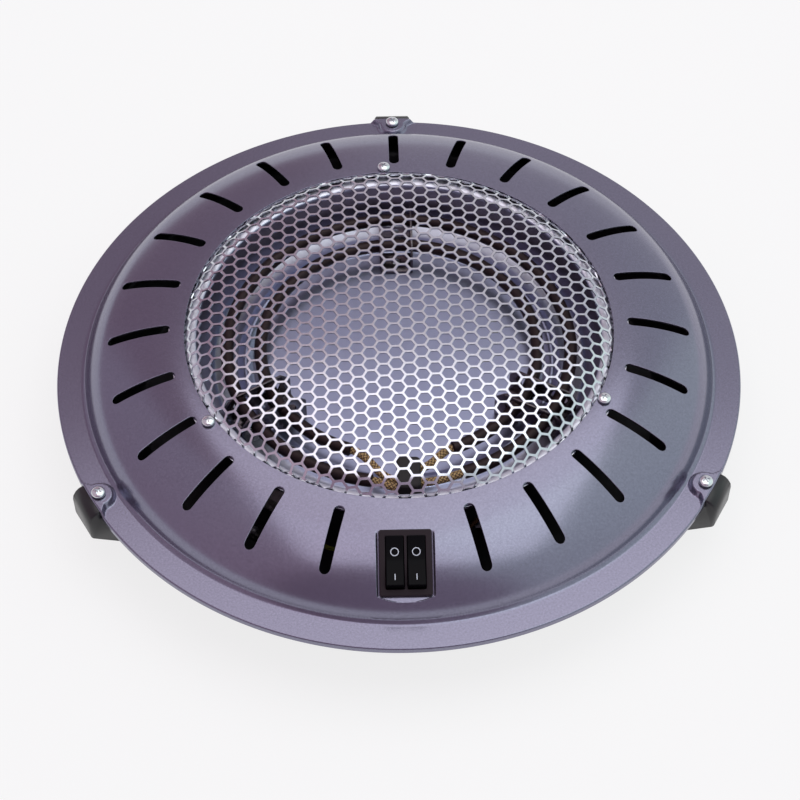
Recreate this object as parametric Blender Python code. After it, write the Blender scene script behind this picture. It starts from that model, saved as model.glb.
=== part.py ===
"""Electric brazier: pressed steel cover, hexagonal guard, two ring elements and a twin rocker switch.

Metres, +Z up, standing on z = 0. The switch faces -Y. Every piece is modelled about the axis of the
round cover, and one empty then moves that axis so that the origin is under the middle of the whole
object, whose back foot reaches past the rim.
"""
from math import asin, atan2, ceil, cos, pi, radians, sin, sqrt, tan

import bmesh
import bpy
from mathutils import Matrix, Vector
from mathutils.geometry import delaunay_2d_cdt

# Fits
GAP = 0.0003                        # air left between pieces that touch
OVERRUN = 0.002                     # how far a cutter runs past the faces that it cuts
EMBED = 0.001                       # how deep joined shapes reach into each other
NET_WELD = 0.000001                 # points of the net that are nearer than this are one

# Cover: pressed sheet with a flat rim, a steep shoulder and a nearly level crown
RIM_RADIUS = 0.180
RIM_HEIGHT = 0.040
RIM_LIP = 0.003
COVER_SHEET = 0.001
COVER_STEPS = 48
SHOULDER_INSET = 0.0280             # from the rim's edge to where the shoulder starts
SHOULDER_START = RIM_RADIUS - SHOULDER_INSET
DECK_WIDTH = 0.0408                 # from the shoulder's start to the hole
HOLE_RADIUS = SHOULDER_START - DECK_WIDTH
CROWN_LEVEL_INSET = 0.0440          # from the shoulder's start to where the crown is level
CROWN_LEVEL_RADIUS = SHOULDER_START - CROWN_LEVEL_INSET
CROWN_ARC = 0.092
CROWN_STEPS = 4
SHOULDER_ARC = 0.028
SHOULDER_STEPS = 2
SHOULDER_END = radians(67.5)
ROOT_ARC = 0.0032

# Convection slots: one place in the ring is taken by the switch
SLOT_PLACES = 24
SLOT_LENGTH = 0.0334
SLOT_OUTER_RADIUS = SHOULDER_START
SLOT_INNER_RADIUS = SLOT_OUTER_RADIUS - SLOT_LENGTH
SLOT_WIDTH = 0.0054
SLOT_END_STEPS = 3

# Raised bosses of the rim screws, over the feet
FOOT_ANGLES = {"back": radians(90), "left": radians(210), "right": radians(330)}
RIM_SCREW_INSET = 0.0045
RIM_SCREW_RADIUS = RIM_RADIUS - RIM_SCREW_INSET
BOSS_RISE = 0.0033
BOSS_TOP_HALF_WIDTH = 0.0115
BOSS_BASE_HALF_WIDTH = 0.0155
BOSS_TOP_NOSE = 0.0063
BOSS_BASE_NOSE = 0.0090
BOSS_NOSE_TURN = radians(105)
BOSS_NOSE_STEPS = 4

# Screws: shares of the head's radius
SCREW_STEPS = 8
HEAD_CROWN_SHARE = 0.5
HEAD_EDGE_SHARE = 0.2
HEAD_CROWN_WIDTH_SHARE = 0.62
RIM_SCREW_HEAD = 0.0036
RIM_SCREW_SHANK = 0.0018
RIM_SCREW_LENGTH = 0.016
GRILLE_SCREW_HEAD = 0.0034
GRILLE_SCREW_SHANK = 0.0014
GRILLE_SCREW_TAIL = 0.0020
GRILLE_SCREW_OUTSET = 0.0035
GRILLE_SCREW_RADIUS = HOLE_RADIUS + GRILLE_SCREW_OUTSET
NUT_SIDES = 6
NUT_CORNER_RADIUS = 0.0036
NUT_THICKNESS = 0.0018

# Guard: hexagonal net pressed into a shallow dome with a rounded shoulder
GRILLE_TURN = radians(2.9)
GRILLE_SHEET = 0.0008
GRILLE_EDGE_CLEARANCE = 0.0006
GRILLE_SHOULDER_ARC = 0.0225
GRILLE_SHOULDER_END = radians(50)
GRILLE_CROWN_ARC = 1.29
GRILLE_FLANGE_WIDTH = 0.0083
GRILLE_FLANGE_RADIUS = HOLE_RADIUS + GRILLE_FLANGE_WIDTH
GRILLE_STEPS = 40
HEX_PITCH = 0.0155
HEX_WEB = 0.0024
HEX_TURN = radians(-1.0)
NET_MARGIN = 0.0020

# Reflector: polished dish hung from the same screws as the guard
REFLECTOR_SHEET = 0.0006
REFLECTOR_STEPS = 32
REFLECTOR_FLOOR = -0.0010
REFLECTOR_TOP_INSET = 0.0042
REFLECTOR_TOP_RADIUS = HOLE_RADIUS - REFLECTOR_TOP_INSET
REFLECTOR_WALL_WIDTH = 0.0110
REFLECTOR_FLOOR_RADIUS = REFLECTOR_TOP_RADIUS - REFLECTOR_WALL_WIDTH
REFLECTOR_WALL_STEPS = 3
BEAD_HALF_WIDTH = 0.0040
BEAD_RISE = 0.0025

# Heating elements: sheathed tubes bent into open rings, ends at the front
ELEMENT_HEIGHT = 0.0110
TUBE_RADIUS = 0.0040
OUTER_RING_INSET = 0.0060           # from the reflector's wall to the outer tube's middle
OUTER_RING_RADIUS = REFLECTOR_FLOOR_RADIUS - OUTER_RING_INSET
RING_SPACING = 0.0180
INNER_RING_RADIUS = OUTER_RING_RADIUS - RING_SPACING
BEAD_RADIUS = (OUTER_RING_RADIUS + INNER_RING_RADIUS) / 2
OUTER_RING_RIGHT_END = 0.0308       # tube ends, sideways from the middle of the front
OUTER_RING_LEFT_END = 0.0156
INNER_RING_END_TURN = radians(21)   # tube ends, turned away from the middle of the front
RING_STEPS = 32

# Element supports: channels that the rings pass through
BRACKET_SHEET = 0.0012
BRACKET_WIDTH = 0.0180
BRACKET_INNER_REACH = 0.0110        # past the middles of the tubes
BRACKET_OUTER_REACH = 0.0090
BRACKET_INNER_RADIUS = INNER_RING_RADIUS - BRACKET_INNER_REACH
BRACKET_OUTER_RADIUS = OUTER_RING_RADIUS + BRACKET_OUTER_REACH
BRACKET_ARCH_HALF_WIDTH = 0.0060
BRACKET_BASE_INNER_END = BEAD_RADIUS - BRACKET_ARCH_HALF_WIDTH
BRACKET_BASE_OUTER_START = BEAD_RADIUS + BRACKET_ARCH_HALF_WIDTH
BRACKET_RISE = 0.0185
BRACKET_CORNER = 0.0050
BRACKET_TUBE_CLEARANCE = 0.0008
BRACKET_HOLE_STEPS = 8
RIVET_HEAD = 0.0024
RIVET_SHANK = 0.0012
RIVET_THICKNESS = 0.0009
RIVET_STEPS = 6

# Black fitting between the element ends, and the sleeved leads that run to it
BUSHING_WIDTH = 0.0200
BUSHING_DEPTH = 0.0240
BUSHING_OUTSET = 0.0020             # from the middle between the rings
BUSHING_RADIUS = BEAD_RADIUS + BUSHING_OUTSET
BUSHING_RISE = 0.0170
BUSHING_DROP = 0.0060
BUSHING_COLLAR = 0.0020
LEAD_RADIUS = 0.0019
LEAD_STRAIGHT = 0.0010
LEAD_STEPS = 5

# Bottom pan
PAN_SHEET = 0.0008
PAN_STEPS = 36
PAN_DEPTH = 0.0260
PAN_WALL_INSET = 0.0250
PAN_WALL_RADIUS = RIM_RADIUS - PAN_WALL_INSET
PAN_WALL_WIDTH = 0.0190
PAN_FLOOR_RADIUS = PAN_WALL_RADIUS - PAN_WALL_WIDTH
PAN_EDGE_CLEARANCE = 0.0008
PAN_VENTS = 6
PAN_VENT_INSET = 0.0600
PAN_VENT_LENGTH = 0.0260
PAN_VENT_OUTER_RADIUS = PAN_FLOOR_RADIUS - PAN_VENT_INSET
PAN_VENT_INNER_RADIUS = PAN_VENT_OUTER_RADIUS - PAN_VENT_LENGTH
PAN_VENT_WIDTH = 0.0060

# Feet: black mouldings that plug into the rim bosses from below
FOOT_WIDTH = 0.0202
FOOT_CLEARANCE = 0.0005
FOOT_DEPTH = 0.0215
FOOT_INNER_RADIUS = RIM_RADIUS - FOOT_DEPTH
FOOT_BASE_DEPTH = 0.0330
FOOT_BASE_INNER_RADIUS = RIM_RADIUS - FOOT_BASE_DEPTH
FOOT_PROUD = 0.0063
FOOT_REACH = RIM_RADIUS + FOOT_PROUD
FOOT_OUTER_ARC = 0.0063
FOOT_ARC_STEPS = 4
FOOT_OUTER_FACE = 0.0123
FOOT_INNER_KNEE = 0.0190
FOOT_SLOPE = radians(43)
FOOT_ROUNDING = 0.0010

# Twin rocker switch, seated in a flat pocket pressed into the cover
POCKET_START_INSET = 0.0246
POCKET_START_RADIUS = SHOULDER_START - POCKET_START_INSET
POCKET_TILT = radians(26.6)
POCKET_HALF_WIDTH = 0.0138
POCKET_MARGIN = 0.0009
POCKET_TAIL = 0.0042
POCKET_TAIL_CORNER = 0.0006
POCKET_TAIL_STEPS = 6
POCKET_HEADROOM = 0.0100
BEZEL_WIDTH = 0.0255
BEZEL_LENGTH = 0.0320
BEZEL_THICKNESS = 0.0020
BEZEL_BEVEL = 0.0007
SWITCH_BODY_WIDTH = 0.0222
SWITCH_BODY_LENGTH = 0.0284
SWITCH_BODY_DEPTH = 0.0180
WELL_DIVIDER = 0.0014
WELL_WIDTH = 0.0090
WELL_LENGTH = 0.0256
WELL_DEPTH = 0.0090
PIVOT_DEPTH = 0.0025
ROCKER_SIDE_CLEARANCE = 0.0003
ROCKER_END_CLEARANCE = 0.0004
ROCKER_SWING = radians(20)
ROCKER_RISE = 0.0029
ROCKER_KEEL = 0.0046
ROCKER_KEEL_HALF_WIDTH = 0.0030
ROCKER_CORNER_INSET = 0.0007
ROCKER_END_LOW = radians(-14)
ROCKER_END_HIGH = radians(6)
ROCKER_END_STEPS = 3
TRUNNION_RADIUS = 0.0012
TRUNNION_REACH = 0.0003
TRUNNION_STEPS = 10
BLADE_WIDTH = 0.0048
BLADE_THICKNESS = 0.0008
BLADE_LENGTH = 0.0080
BLADE_SOCKET = 0.0030
BLADE_OFFSET = 0.0070

# Fittings in the space between reflector and pan
BLOCK_ANGLE = radians(235)
BLOCK_INSET = 0.0400                # from the edge of the pan's floor
BLOCK_RADIUS = PAN_FLOOR_RADIUS - BLOCK_INSET
BLOCK_LENGTH = 0.0300
BLOCK_WIDTH = 0.0160
BLOCK_HEIGHT = 0.0120
BLOCK_WAYS = ("feed", "neutral", "earth")
BLOCK_WELL_RADIUS = 0.0024
BLOCK_WELL_DEPTH = 0.0050
BLOCK_BORE_RADIUS = 0.0016
BLOCK_BORE_HEIGHT = 0.0045
BLOCK_BORE_STEPS = 8
CLAMP_INSET = 0.0160
CLAMP_RADIUS = PAN_FLOOR_RADIUS - CLAMP_INSET
CLAMP_LENGTH = 0.0260
CLAMP_WIDTH = 0.0080
CLAMP_HEIGHT = 0.0070
CLAMP_EAR = 0.0035
CLAMP_ARCH_RADIUS = 0.0038
CLAMP_ARCH_STEPS = 6
CLAMP_SCREW_SPACING = 0.0170
GLAND_BORE_RADIUS = 0.0038
GLAND_BODY_RADIUS = 0.0062
GLAND_FLANGE_RADIUS = 0.0085
GLAND_FLANGE = 0.0020
GLAND_NOSE = 0.0080
GLAND_TAIL = 0.0040
GLAND_STEPS = 12
CUTOUT_ANGLE = radians(300)
CUTOUT_INSET = 0.0380
CUTOUT_RADIUS = PAN_FLOOR_RADIUS - CUTOUT_INSET
CUTOUT_CAN_RADIUS = 0.0080
CUTOUT_CAN_HEIGHT = 0.0070
CUTOUT_FLANGE = 0.0012
CUTOUT_FLANGE_HALF_WIDTH = 0.0050
CUTOUT_SCREW_SPACING = 0.0240
CUTOUT_STEPS = 12
CUTOUT_TAG_HEIGHT = 0.0040
CUTOUT_TAG_WIDTH = 0.0040
CUTOUT_TAG_OFFSET = 0.0045
PAN_SCREW_HEAD = 0.0027
PAN_SCREW_SHANK = 0.0014
PAN_SCREW_TAIL = 0.0020
PAN_SCREW_STEPS = 6
EARTH_ANGLE = radians(262)
EARTH_INSET = 0.0260
EARTH_RADIUS = PAN_FLOOR_RADIUS - EARTH_INSET
WIRE_RADIUS = 0.0012
WIRE_SEAT = 0.0024
WIRE_STRAIGHT = 0.0050
WIRE_BEND = 0.0075
WIRE_STEPS = 5

# Paint and metal of the pieces: colour, metallic, roughness
FINISHES = {
    "grey_paint": ((0.19, 0.19, 0.26), 0.35, 0.32),
    "bright_chrome": ((0.78, 0.80, 0.84), 1.0, 0.16),
    "polished_aluminium": ((0.62, 0.64, 0.74), 1.0, 0.24),
    "zinc_steel": ((0.55, 0.56, 0.58), 1.0, 0.38),
    "screw_steel": ((0.80, 0.80, 0.80), 1.0, 0.20),
    "element_sheath": ((0.045, 0.035, 0.035), 0.6, 0.55),
    "dark_steel": ((0.06, 0.055, 0.06), 0.8, 0.45),
    "black_plastic": ((0.012, 0.012, 0.014), 0.0, 0.40),
    "bezel_plastic": ((0.055, 0.048, 0.052), 0.0, 0.42),
    "black_ceramic": ((0.02, 0.018, 0.018), 0.0, 0.55),
    "golden_braid": ((0.46, 0.29, 0.11), 0.0, 0.70),
    "brass": ((0.72, 0.52, 0.22), 1.0, 0.30),
    "white_nylon": ((0.75, 0.74, 0.70), 0.0, 0.45),
    "brown_wire": ((0.20, 0.09, 0.04), 0.0, 0.45),
    "blue_wire": ((0.05, 0.14, 0.42), 0.0, 0.45),
    "earth_wire": ((0.42, 0.50, 0.05), 0.0, 0.45),
}

SHARP_ANGLE = radians(35)

# The cover's arcs: each touches the next one
CROWN_END = asin((SHOULDER_START - CROWN_LEVEL_RADIUS) / CROWN_ARC)
ARC_STEP = CROWN_ARC - SHOULDER_ARC
SHOULDER_CENTRE_RADIUS = CROWN_LEVEL_RADIUS + ARC_STEP * sin(CROWN_END)
ROOT_CENTRE_RADIUS = SHOULDER_CENTRE_RADIUS + (SHOULDER_ARC + ROOT_ARC) * sin(SHOULDER_END)
ROOT_CENTRE_HEIGHT = RIM_HEIGHT + ROOT_ARC
SHOULDER_CENTRE_HEIGHT = ROOT_CENTRE_HEIGHT - (SHOULDER_ARC + ROOT_ARC) * cos(SHOULDER_END)
CROWN_CENTRE_HEIGHT = SHOULDER_CENTRE_HEIGHT - ARC_STEP * cos(CROWN_END)


def cover_height(radius, inset=0):
    """Height of the cover's surface at a radius, or of the surface that lies inset below it."""
    if radius <= CROWN_LEVEL_RADIUS + (CROWN_ARC - inset) * sin(CROWN_END):
        return CROWN_CENTRE_HEIGHT + sqrt((CROWN_ARC - inset) ** 2 - (radius - CROWN_LEVEL_RADIUS) ** 2)
    if radius <= SHOULDER_CENTRE_RADIUS + (SHOULDER_ARC - inset) * sin(SHOULDER_END):
        return SHOULDER_CENTRE_HEIGHT + sqrt(
            (SHOULDER_ARC - inset) ** 2 - (radius - SHOULDER_CENTRE_RADIUS) ** 2)
    if radius < ROOT_CENTRE_RADIUS:
        return ROOT_CENTRE_HEIGHT - sqrt((ROOT_ARC + inset) ** 2 - (ROOT_CENTRE_RADIUS - radius) ** 2)
    return RIM_HEIGHT - inset


# The guard's arcs, and the stack of flanges that its screws clamp under the cover
GRILLE_EDGE_RADIUS = HOLE_RADIUS - GRILLE_EDGE_CLEARANCE
GRILLE_EDGE_HEIGHT = cover_height(HOLE_RADIUS)
GRILLE_SHOULDER_CENTRE = GRILLE_EDGE_RADIUS - GRILLE_SHOULDER_ARC * sin(GRILLE_SHOULDER_END)
GRILLE_CROWN_END = asin(GRILLE_SHOULDER_CENTRE / (GRILLE_CROWN_ARC - GRILLE_SHOULDER_ARC))
GRILLE_CROWN_RADIUS = GRILLE_CROWN_ARC * sin(GRILLE_CROWN_END)
GRILLE_FLANGE_TOP = cover_height(GRILLE_FLANGE_RADIUS, COVER_SHEET) - GAP
REFLECTOR_FLANGE_TOP = GRILLE_FLANGE_TOP - GRILLE_SHEET - GAP
NUT_TOP = REFLECTOR_FLANGE_TOP - REFLECTOR_SHEET - GAP


def grille_height(radius):
    """Height of the guard's outer surface at a radius inside its edge."""
    centre = GRILLE_EDGE_HEIGHT - GRILLE_SHOULDER_ARC * cos(GRILLE_SHOULDER_END)
    if radius > GRILLE_CROWN_RADIUS:
        return centre + sqrt(GRILLE_SHOULDER_ARC ** 2 - (radius - GRILLE_SHOULDER_CENTRE) ** 2)
    crown_centre = centre - (GRILLE_CROWN_ARC - GRILLE_SHOULDER_ARC) * cos(GRILLE_CROWN_END)
    return crown_centre + sqrt(GRILLE_CROWN_ARC ** 2 - radius ** 2)


# Levels of the inner pieces
DISH_FLOOR = RIM_HEIGHT + REFLECTOR_FLOOR
DISH_UNDERSIDE = DISH_FLOOR - REFLECTOR_SHEET
RING_HEIGHT = RIM_HEIGHT + ELEMENT_HEIGHT
PAN_FLANGE_TOP = RIM_HEIGHT - COVER_SHEET - GAP
PAN_FLOOR = PAN_FLANGE_TOP - PAN_DEPTH
PAN_EDGE_RADIUS = RIM_RADIUS - COVER_SHEET - PAN_EDGE_CLEARANCE
OUTER_RING_ENDS = (asin(OUTER_RING_RIGHT_END / OUTER_RING_RADIUS) - pi / 2,
                   3 * pi / 2 - asin(OUTER_RING_LEFT_END / OUTER_RING_RADIUS))
INNER_RING_ENDS = (INNER_RING_END_TURN - pi / 2, 3 * pi / 2 - INNER_RING_END_TURN)
FOOT_SHOULDER = PAN_FLANGE_TOP - PAN_SHEET - GAP
FOOT_TOP = RIM_HEIGHT + BOSS_RISE - COVER_SHEET - GAP
AXIS_Y = (RIM_RADIUS - FOOT_REACH) / 2

# The switch's own frame: middle of the bezel on the pocket's floor, X across, Y up the slope
SWITCH_ALONG = POCKET_MARGIN + BEZEL_LENGTH / 2
SWITCH_PLACE = Vector((
    0,
    -(POCKET_START_RADIUS + SWITCH_ALONG * cos(POCKET_TILT)),
    cover_height(POCKET_START_RADIUS) - SWITCH_ALONG * sin(POCKET_TILT)))
SWITCH_FRAME = Matrix.Translation(SWITCH_PLACE) @ Matrix.Rotation(POCKET_TILT, 4, "X")
BEZEL_TOP = GAP + BEZEL_THICKNESS
PIVOT_HEIGHT = BEZEL_TOP - PIVOT_DEPTH
ROCKER_OFFSET = (WELL_WIDTH + WELL_DIVIDER) / 2


def polar(radius, angle, height=0):
    """Point at a radius and an angle about the brazier's axis."""
    return Vector((radius * cos(angle), radius * sin(angle), height))


def turned(angle, place=(0, 0, 0)):
    """Frame turned about Z and set at a place."""
    return Matrix.Translation(place) @ Matrix.Rotation(angle, 4, "Z")


def clear_scene():
    """Remove every object that the file already holds."""
    for old in list(bpy.data.objects):
        bpy.data.objects.remove(old)


def finish_material(name):
    """Principled material of one of the finishes, made once."""
    made = bpy.data.materials.get(name)
    if made:
        return made
    colour, metallic, roughness = FINISHES[name]
    made = bpy.data.materials.new(name)
    made.use_nodes = True
    shader = made.node_tree.nodes["Principled BSDF"]
    shader.inputs["Base Color"].default_value = (*colour, 1)
    shader.inputs["Metallic"].default_value = metallic
    shader.inputs["Roughness"].default_value = roughness
    made.diffuse_color = (*colour, 1)
    return made


def add_object(name, data, finish, frame=None):
    """Link an object to the scene on the brazier's axis, in its own finish."""
    piece = bpy.data.objects.new(name, data)
    bpy.context.scene.collection.objects.link(piece)
    piece.parent = bpy.data.objects["brazier_axis"]
    if frame is not None:
        piece.matrix_basis = frame
    if finish:
        data.materials.append(finish_material(finish))
    return piece


def add_mesh(name, bm, finish, frame=None, smooth=True):
    """Turn a bmesh into a named object with its faces pointing out."""
    mesh = bpy.data.meshes.new(name)
    bm.to_mesh(mesh)
    bm.free()
    if smooth:
        mesh.shade_smooth()
        mesh.set_sharp_from_angle(angle=SHARP_ANGLE)
    return add_object(name, mesh, finish, frame)


def add_copies(prefix, bm, finish, frames, smooth=True):
    """Objects that share one mesh, each named after the place where it stands."""
    places = iter(frames.items())
    place, frame = next(places)
    first = add_mesh(f"{prefix}_{place}", bm, finish, frame, smooth)
    for place, frame in places:
        add_object(f"{prefix}_{place}", first.data, None, frame)


def revolve(profile, steps, bm=None, frame=None):
    """Closed solid turned about Z from a closed outline of (radius, height) points.

    A point with radius 0 is a single pole.
    """
    bm = bm or bmesh.new()
    frame = frame or Matrix.Identity(4)
    rows = []
    for radius, height in profile:
        if radius == 0:
            rows.append([bm.verts.new(frame @ Vector((0, 0, height)))] * steps)
            continue
        rows.append([bm.verts.new(frame @ polar(radius, 2 * pi * step / steps, height))
                     for step in range(steps)])
    faces = []
    for row, following in zip(rows, rows[1:] + rows[:1]):
        for step in range(steps):
            after = (step + 1) % steps
            corners = [row[step], row[after], following[after], following[step]]
            corners = list(dict.fromkeys(corners))
            if len(corners) > 2:
                faces.append(bm.faces.new(corners))
    bmesh.ops.recalc_face_normals(bm, faces=faces)
    return bm


def revolve_sheet(profile, steps):
    """Open turned surface, normals up, from (radius, height) points that run outwards."""
    bm = bmesh.new()
    rows = []
    for radius, height in profile:
        if radius == 0:
            rows.append([bm.verts.new((0, 0, height))] * steps)
        else:
            rows.append([bm.verts.new(polar(radius, 2 * pi * step / steps, height))
                         for step in range(steps)])
    for inner, outer in zip(rows, rows[1:]):
        for step in range(steps):
            after = (step + 1) % steps
            corners = [inner[step], outer[step], outer[after], inner[after]]
            bm.faces.new(list(dict.fromkeys(corners)))
    return bm


def loft(sections, bm=None, frame=None):
    """Closed solid through equal point rings, each a list of points."""
    bm = bm or bmesh.new()
    frame = frame or Matrix.Identity(4)
    rings = [[bm.verts.new(frame @ Vector(point)) for point in section] for section in sections]
    faces = [bm.faces.new(rings[0][::-1]), bm.faces.new(rings[-1])]
    for low, high in zip(rings, rings[1:]):
        for step in range(len(low)):
            after = (step + 1) % len(low)
            faces.append(bm.faces.new([low[step], low[after], high[after], high[step]]))
    bmesh.ops.recalc_face_normals(bm, faces=faces)
    return bm


def prism(outline, low, high, bm=None, frame=None):
    """Closed solid between two heights on an outline of (x, y) points."""
    return loft([[(x, y, z) for x, y in outline] for z in (low, high)], bm, frame)


def side_prism(outline, half_width, bm=None, frame=None):
    """Closed solid whose outline lies in the X, Z plane and which runs along Y."""
    return loft([[(x, y, z) for x, z in outline] for y in (half_width, -half_width)], bm, frame)


def box_outline(half_x, half_y, x=0, y=0):
    """Corners of a rectangle about a middle point."""
    return [(x - half_x, y - half_y), (x + half_x, y - half_y),
            (x + half_x, y + half_y), (x - half_x, y + half_y)]


def arc(centre, radius, start, end, steps):
    """Points of an arc in a plane, both ends included."""
    return [(centre[0] + radius * cos(start + (end - start) * step / steps),
             centre[1] + radius * sin(start + (end - start) * step / steps))
            for step in range(steps + 1)]


def circle(radius, steps, x=0, y=0):
    """Outline of a round hole or bar."""
    return arc((x, y), radius, 0, 2 * pi, steps)[:-1]


def obround(inner, outer, width, steps):
    """Outline of a slot along X with round ends."""
    half = width / 2
    return (arc((outer - half, 0), half, -pi / 2, pi / 2, steps)
            + arc((inner + half, 0), half, pi / 2, 3 * pi / 2, steps))


def cutter(name, bm, frame=None):
    """Helper solid that another piece is cut or joined with; it isn't part of the object."""
    helper = add_mesh(name, bm, None, frame, smooth=False)
    helper.hide_render = True
    helper.display_type = "WIRE"
    return helper


def boolean(piece, helper, operation="DIFFERENCE"):
    """Cut, join or intersect a piece with a helper solid."""
    step = piece.modifiers.new(f"{operation.lower()} {helper.name}", "BOOLEAN")
    step.operation = operation
    step.object = helper


def solidify(piece, thickness):
    """Give a surface its sheet thickness, below its normals."""
    sheet = piece.modifiers.new("sheet", "SOLIDIFY")
    sheet.thickness = thickness
    sheet.offset = -1
    sheet.use_even_offset = True


def bevel(piece, width, segments=1, angle=radians(40)):
    """Round the sharp edges of a piece."""
    rounding = piece.modifiers.new("rounding", "BEVEL")
    rounding.width = width
    rounding.segments = segments
    rounding.limit_method = "ANGLE"
    rounding.angle_limit = angle


def tube(name, points, radius, finish, resolution=2):
    """Round bar or wire along points, with closed ends."""
    curve = bpy.data.curves.new(name, "CURVE")
    curve.dimensions = "3D"
    curve.bevel_depth = radius
    curve.bevel_resolution = resolution
    curve.use_fill_caps = True
    spline = curve.splines.new("POLY")
    spline.points.add(len(points) - 1)
    for place, point in zip(spline.points, points):
        place.co = (*point, 1)
    return add_object(name, curve, finish)


def bent_path(start, start_way, end, end_way, straight, bend, steps):
    """Smooth path between two points. It leaves and arrives straight, then bends over a length."""
    start_way, end_way = Vector(start_way).normalized(), Vector(end_way).normalized()
    first, last = start + start_way * straight, end + end_way * straight
    path = [start]
    for step in range(steps + 1):
        share = step / steps
        rest_share = 1 - share
        path.append(rest_share ** 3 * first
                    + 3 * rest_share ** 2 * share * (first + start_way * bend)
                    + 3 * rest_share * share ** 2 * (last + end_way * bend)
                    + share ** 3 * last)
    return path + [end]


def screw_outline(head, shank, length):
    """Half outline of a pan-head screw whose head sits on height 0."""
    edge, crown = head * HEAD_EDGE_SHARE, head * HEAD_CROWN_SHARE
    return [(0, crown + edge), (head * HEAD_CROWN_WIDTH_SHARE, crown), (head, edge), (head, 0),
            (shank, 0), (shank, -length), (0, -length)]


# Cover


def cover_outline(inset, hole_radius, rim_radius, bottom):
    """Closed outline of the space under the cover's surface, at an inset below it."""
    points = [(hole_radius, bottom), (rim_radius, bottom), (rim_radius, RIM_HEIGHT - inset),
              (ROOT_CENTRE_RADIUS, RIM_HEIGHT - inset)]
    for step in range(SHOULDER_STEPS):
        angle = SHOULDER_END + (CROWN_END - SHOULDER_END) * step / SHOULDER_STEPS
        points.append((SHOULDER_CENTRE_RADIUS + (SHOULDER_ARC - inset) * sin(angle),
                       SHOULDER_CENTRE_HEIGHT + (SHOULDER_ARC - inset) * cos(angle)))
    hole_angle = asin((hole_radius - CROWN_LEVEL_RADIUS) / (CROWN_ARC - inset))
    for step in range(CROWN_STEPS + 1):
        angle = CROWN_END + (hole_angle - CROWN_END) * step / CROWN_STEPS
        points.append((CROWN_LEVEL_RADIUS + (CROWN_ARC - inset) * sin(angle),
                       CROWN_CENTRE_HEIGHT + (CROWN_ARC - inset) * cos(angle)))
    return points


def boss_outline(nose, half_width, reach):
    """Outline of a screw boss: round about the screw, with flanks that spread towards the rim.

    The half width is the one at the rim, and the flanks run on to the reach.
    """
    nose_x = RIM_SCREW_RADIUS + nose * cos(BOSS_NOSE_TURN)
    nose_y = nose * sin(BOSS_NOSE_TURN)
    spread = (half_width - nose_y) / (RIM_RADIUS - nose_x)
    flank = half_width + spread * (reach - RIM_RADIUS)
    return [(reach, -flank), (reach, flank)] + arc((RIM_SCREW_RADIUS, 0), nose, BOSS_NOSE_TURN,
                                                   2 * pi - BOSS_NOSE_TURN, BOSS_NOSE_STEPS)


def bosses(name, inset):
    """The three bosses' solids, or with an inset the hollows under them."""
    reach = RIM_RADIUS + OVERRUN
    top = [(x, y, RIM_HEIGHT + BOSS_RISE - inset)
           for x, y in boss_outline(BOSS_TOP_NOSE - inset, BOSS_TOP_HALF_WIDTH - inset, reach)]
    base = [(x, y, RIM_HEIGHT - inset - EMBED)
            for x, y in boss_outline(BOSS_BASE_NOSE - inset, BOSS_BASE_HALF_WIDTH - inset, reach)]
    bm = bmesh.new()
    for angle in FOOT_ANGLES.values():
        loft([base, top], bm, turned(angle))
    return cutter(name, bm)


def lip_openings():
    """Breaks in the turned-down edge where the feet come out."""
    half_width = FOOT_WIDTH / 2 + FOOT_CLEARANCE
    middle = RIM_RADIUS - COVER_SHEET
    outline = box_outline(COVER_SHEET + 2 * OVERRUN, half_width, middle)
    bm = bmesh.new()
    for angle in FOOT_ANGLES.values():
        prism(outline, RIM_HEIGHT - RIM_LIP - 2 * OVERRUN, RIM_HEIGHT - COVER_SHEET / 2, bm, turned(angle))
    return cutter("cut_lip_openings", bm)


def pocket_outline(inset):
    """Outline of the switch pocket in the switch's frame, its lower end bowed out."""
    half_width = POCKET_HALF_WIDTH + inset
    top = BEZEL_LENGTH / 2 + POCKET_MARGIN + OVERRUN
    corner = -BEZEL_LENGTH / 2 - POCKET_TAIL_CORNER - inset
    bow = POCKET_TAIL - POCKET_TAIL_CORNER
    tail = [(half_width * (1 - 2 * step / POCKET_TAIL_STEPS),
             corner - bow * (1 - (1 - 2 * step / POCKET_TAIL_STEPS) ** 2))
            for step in range(POCKET_TAIL_STEPS + 1)]
    return [(-half_width, top), (half_width, top)] + tail


def slots():
    """The ring of radial slots; the front place belongs to the switch."""
    outline = obround(SLOT_INNER_RADIUS, SLOT_OUTER_RADIUS, SLOT_WIDTH, SLOT_END_STEPS)
    low = cover_height(SLOT_OUTER_RADIUS, COVER_SHEET) - COVER_SHEET - OVERRUN
    high = cover_height(SLOT_INNER_RADIUS) + OVERRUN
    bm = bmesh.new()
    for place in range(SLOT_PLACES):
        angle = -pi / 2 + 2 * pi * place / SLOT_PLACES
        if place:
            prism(outline, low, high, bm, turned(angle))
    return cutter("cut_slots", bm)


def grille_screw_frames(height=0):
    """Frames of the guard's screws, X pointing outwards."""
    return {side: turned(angle + GRILLE_TURN, polar(GRILLE_SCREW_RADIUS, angle + GRILLE_TURN, height))
            for side, angle in FOOT_ANGLES.items()}


def cover_screw_holes():
    """Clearance holes of the rim screws and of the guard's screws."""
    bm = bmesh.new()
    low = RIM_HEIGHT - RIM_LIP
    high = GRILLE_EDGE_HEIGHT + OVERRUN
    for angle in FOOT_ANGLES.values():
        prism(circle(RIM_SCREW_SHANK + GAP, SCREW_STEPS), low, high, bm,
              turned(angle, polar(RIM_SCREW_RADIUS, angle)))
    for frame in grille_screw_frames().values():
        prism(circle(GRILLE_SCREW_SHANK + GAP, SCREW_STEPS), low, high, bm, frame)
    return cutter("cut_cover_screw_holes", bm)


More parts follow.
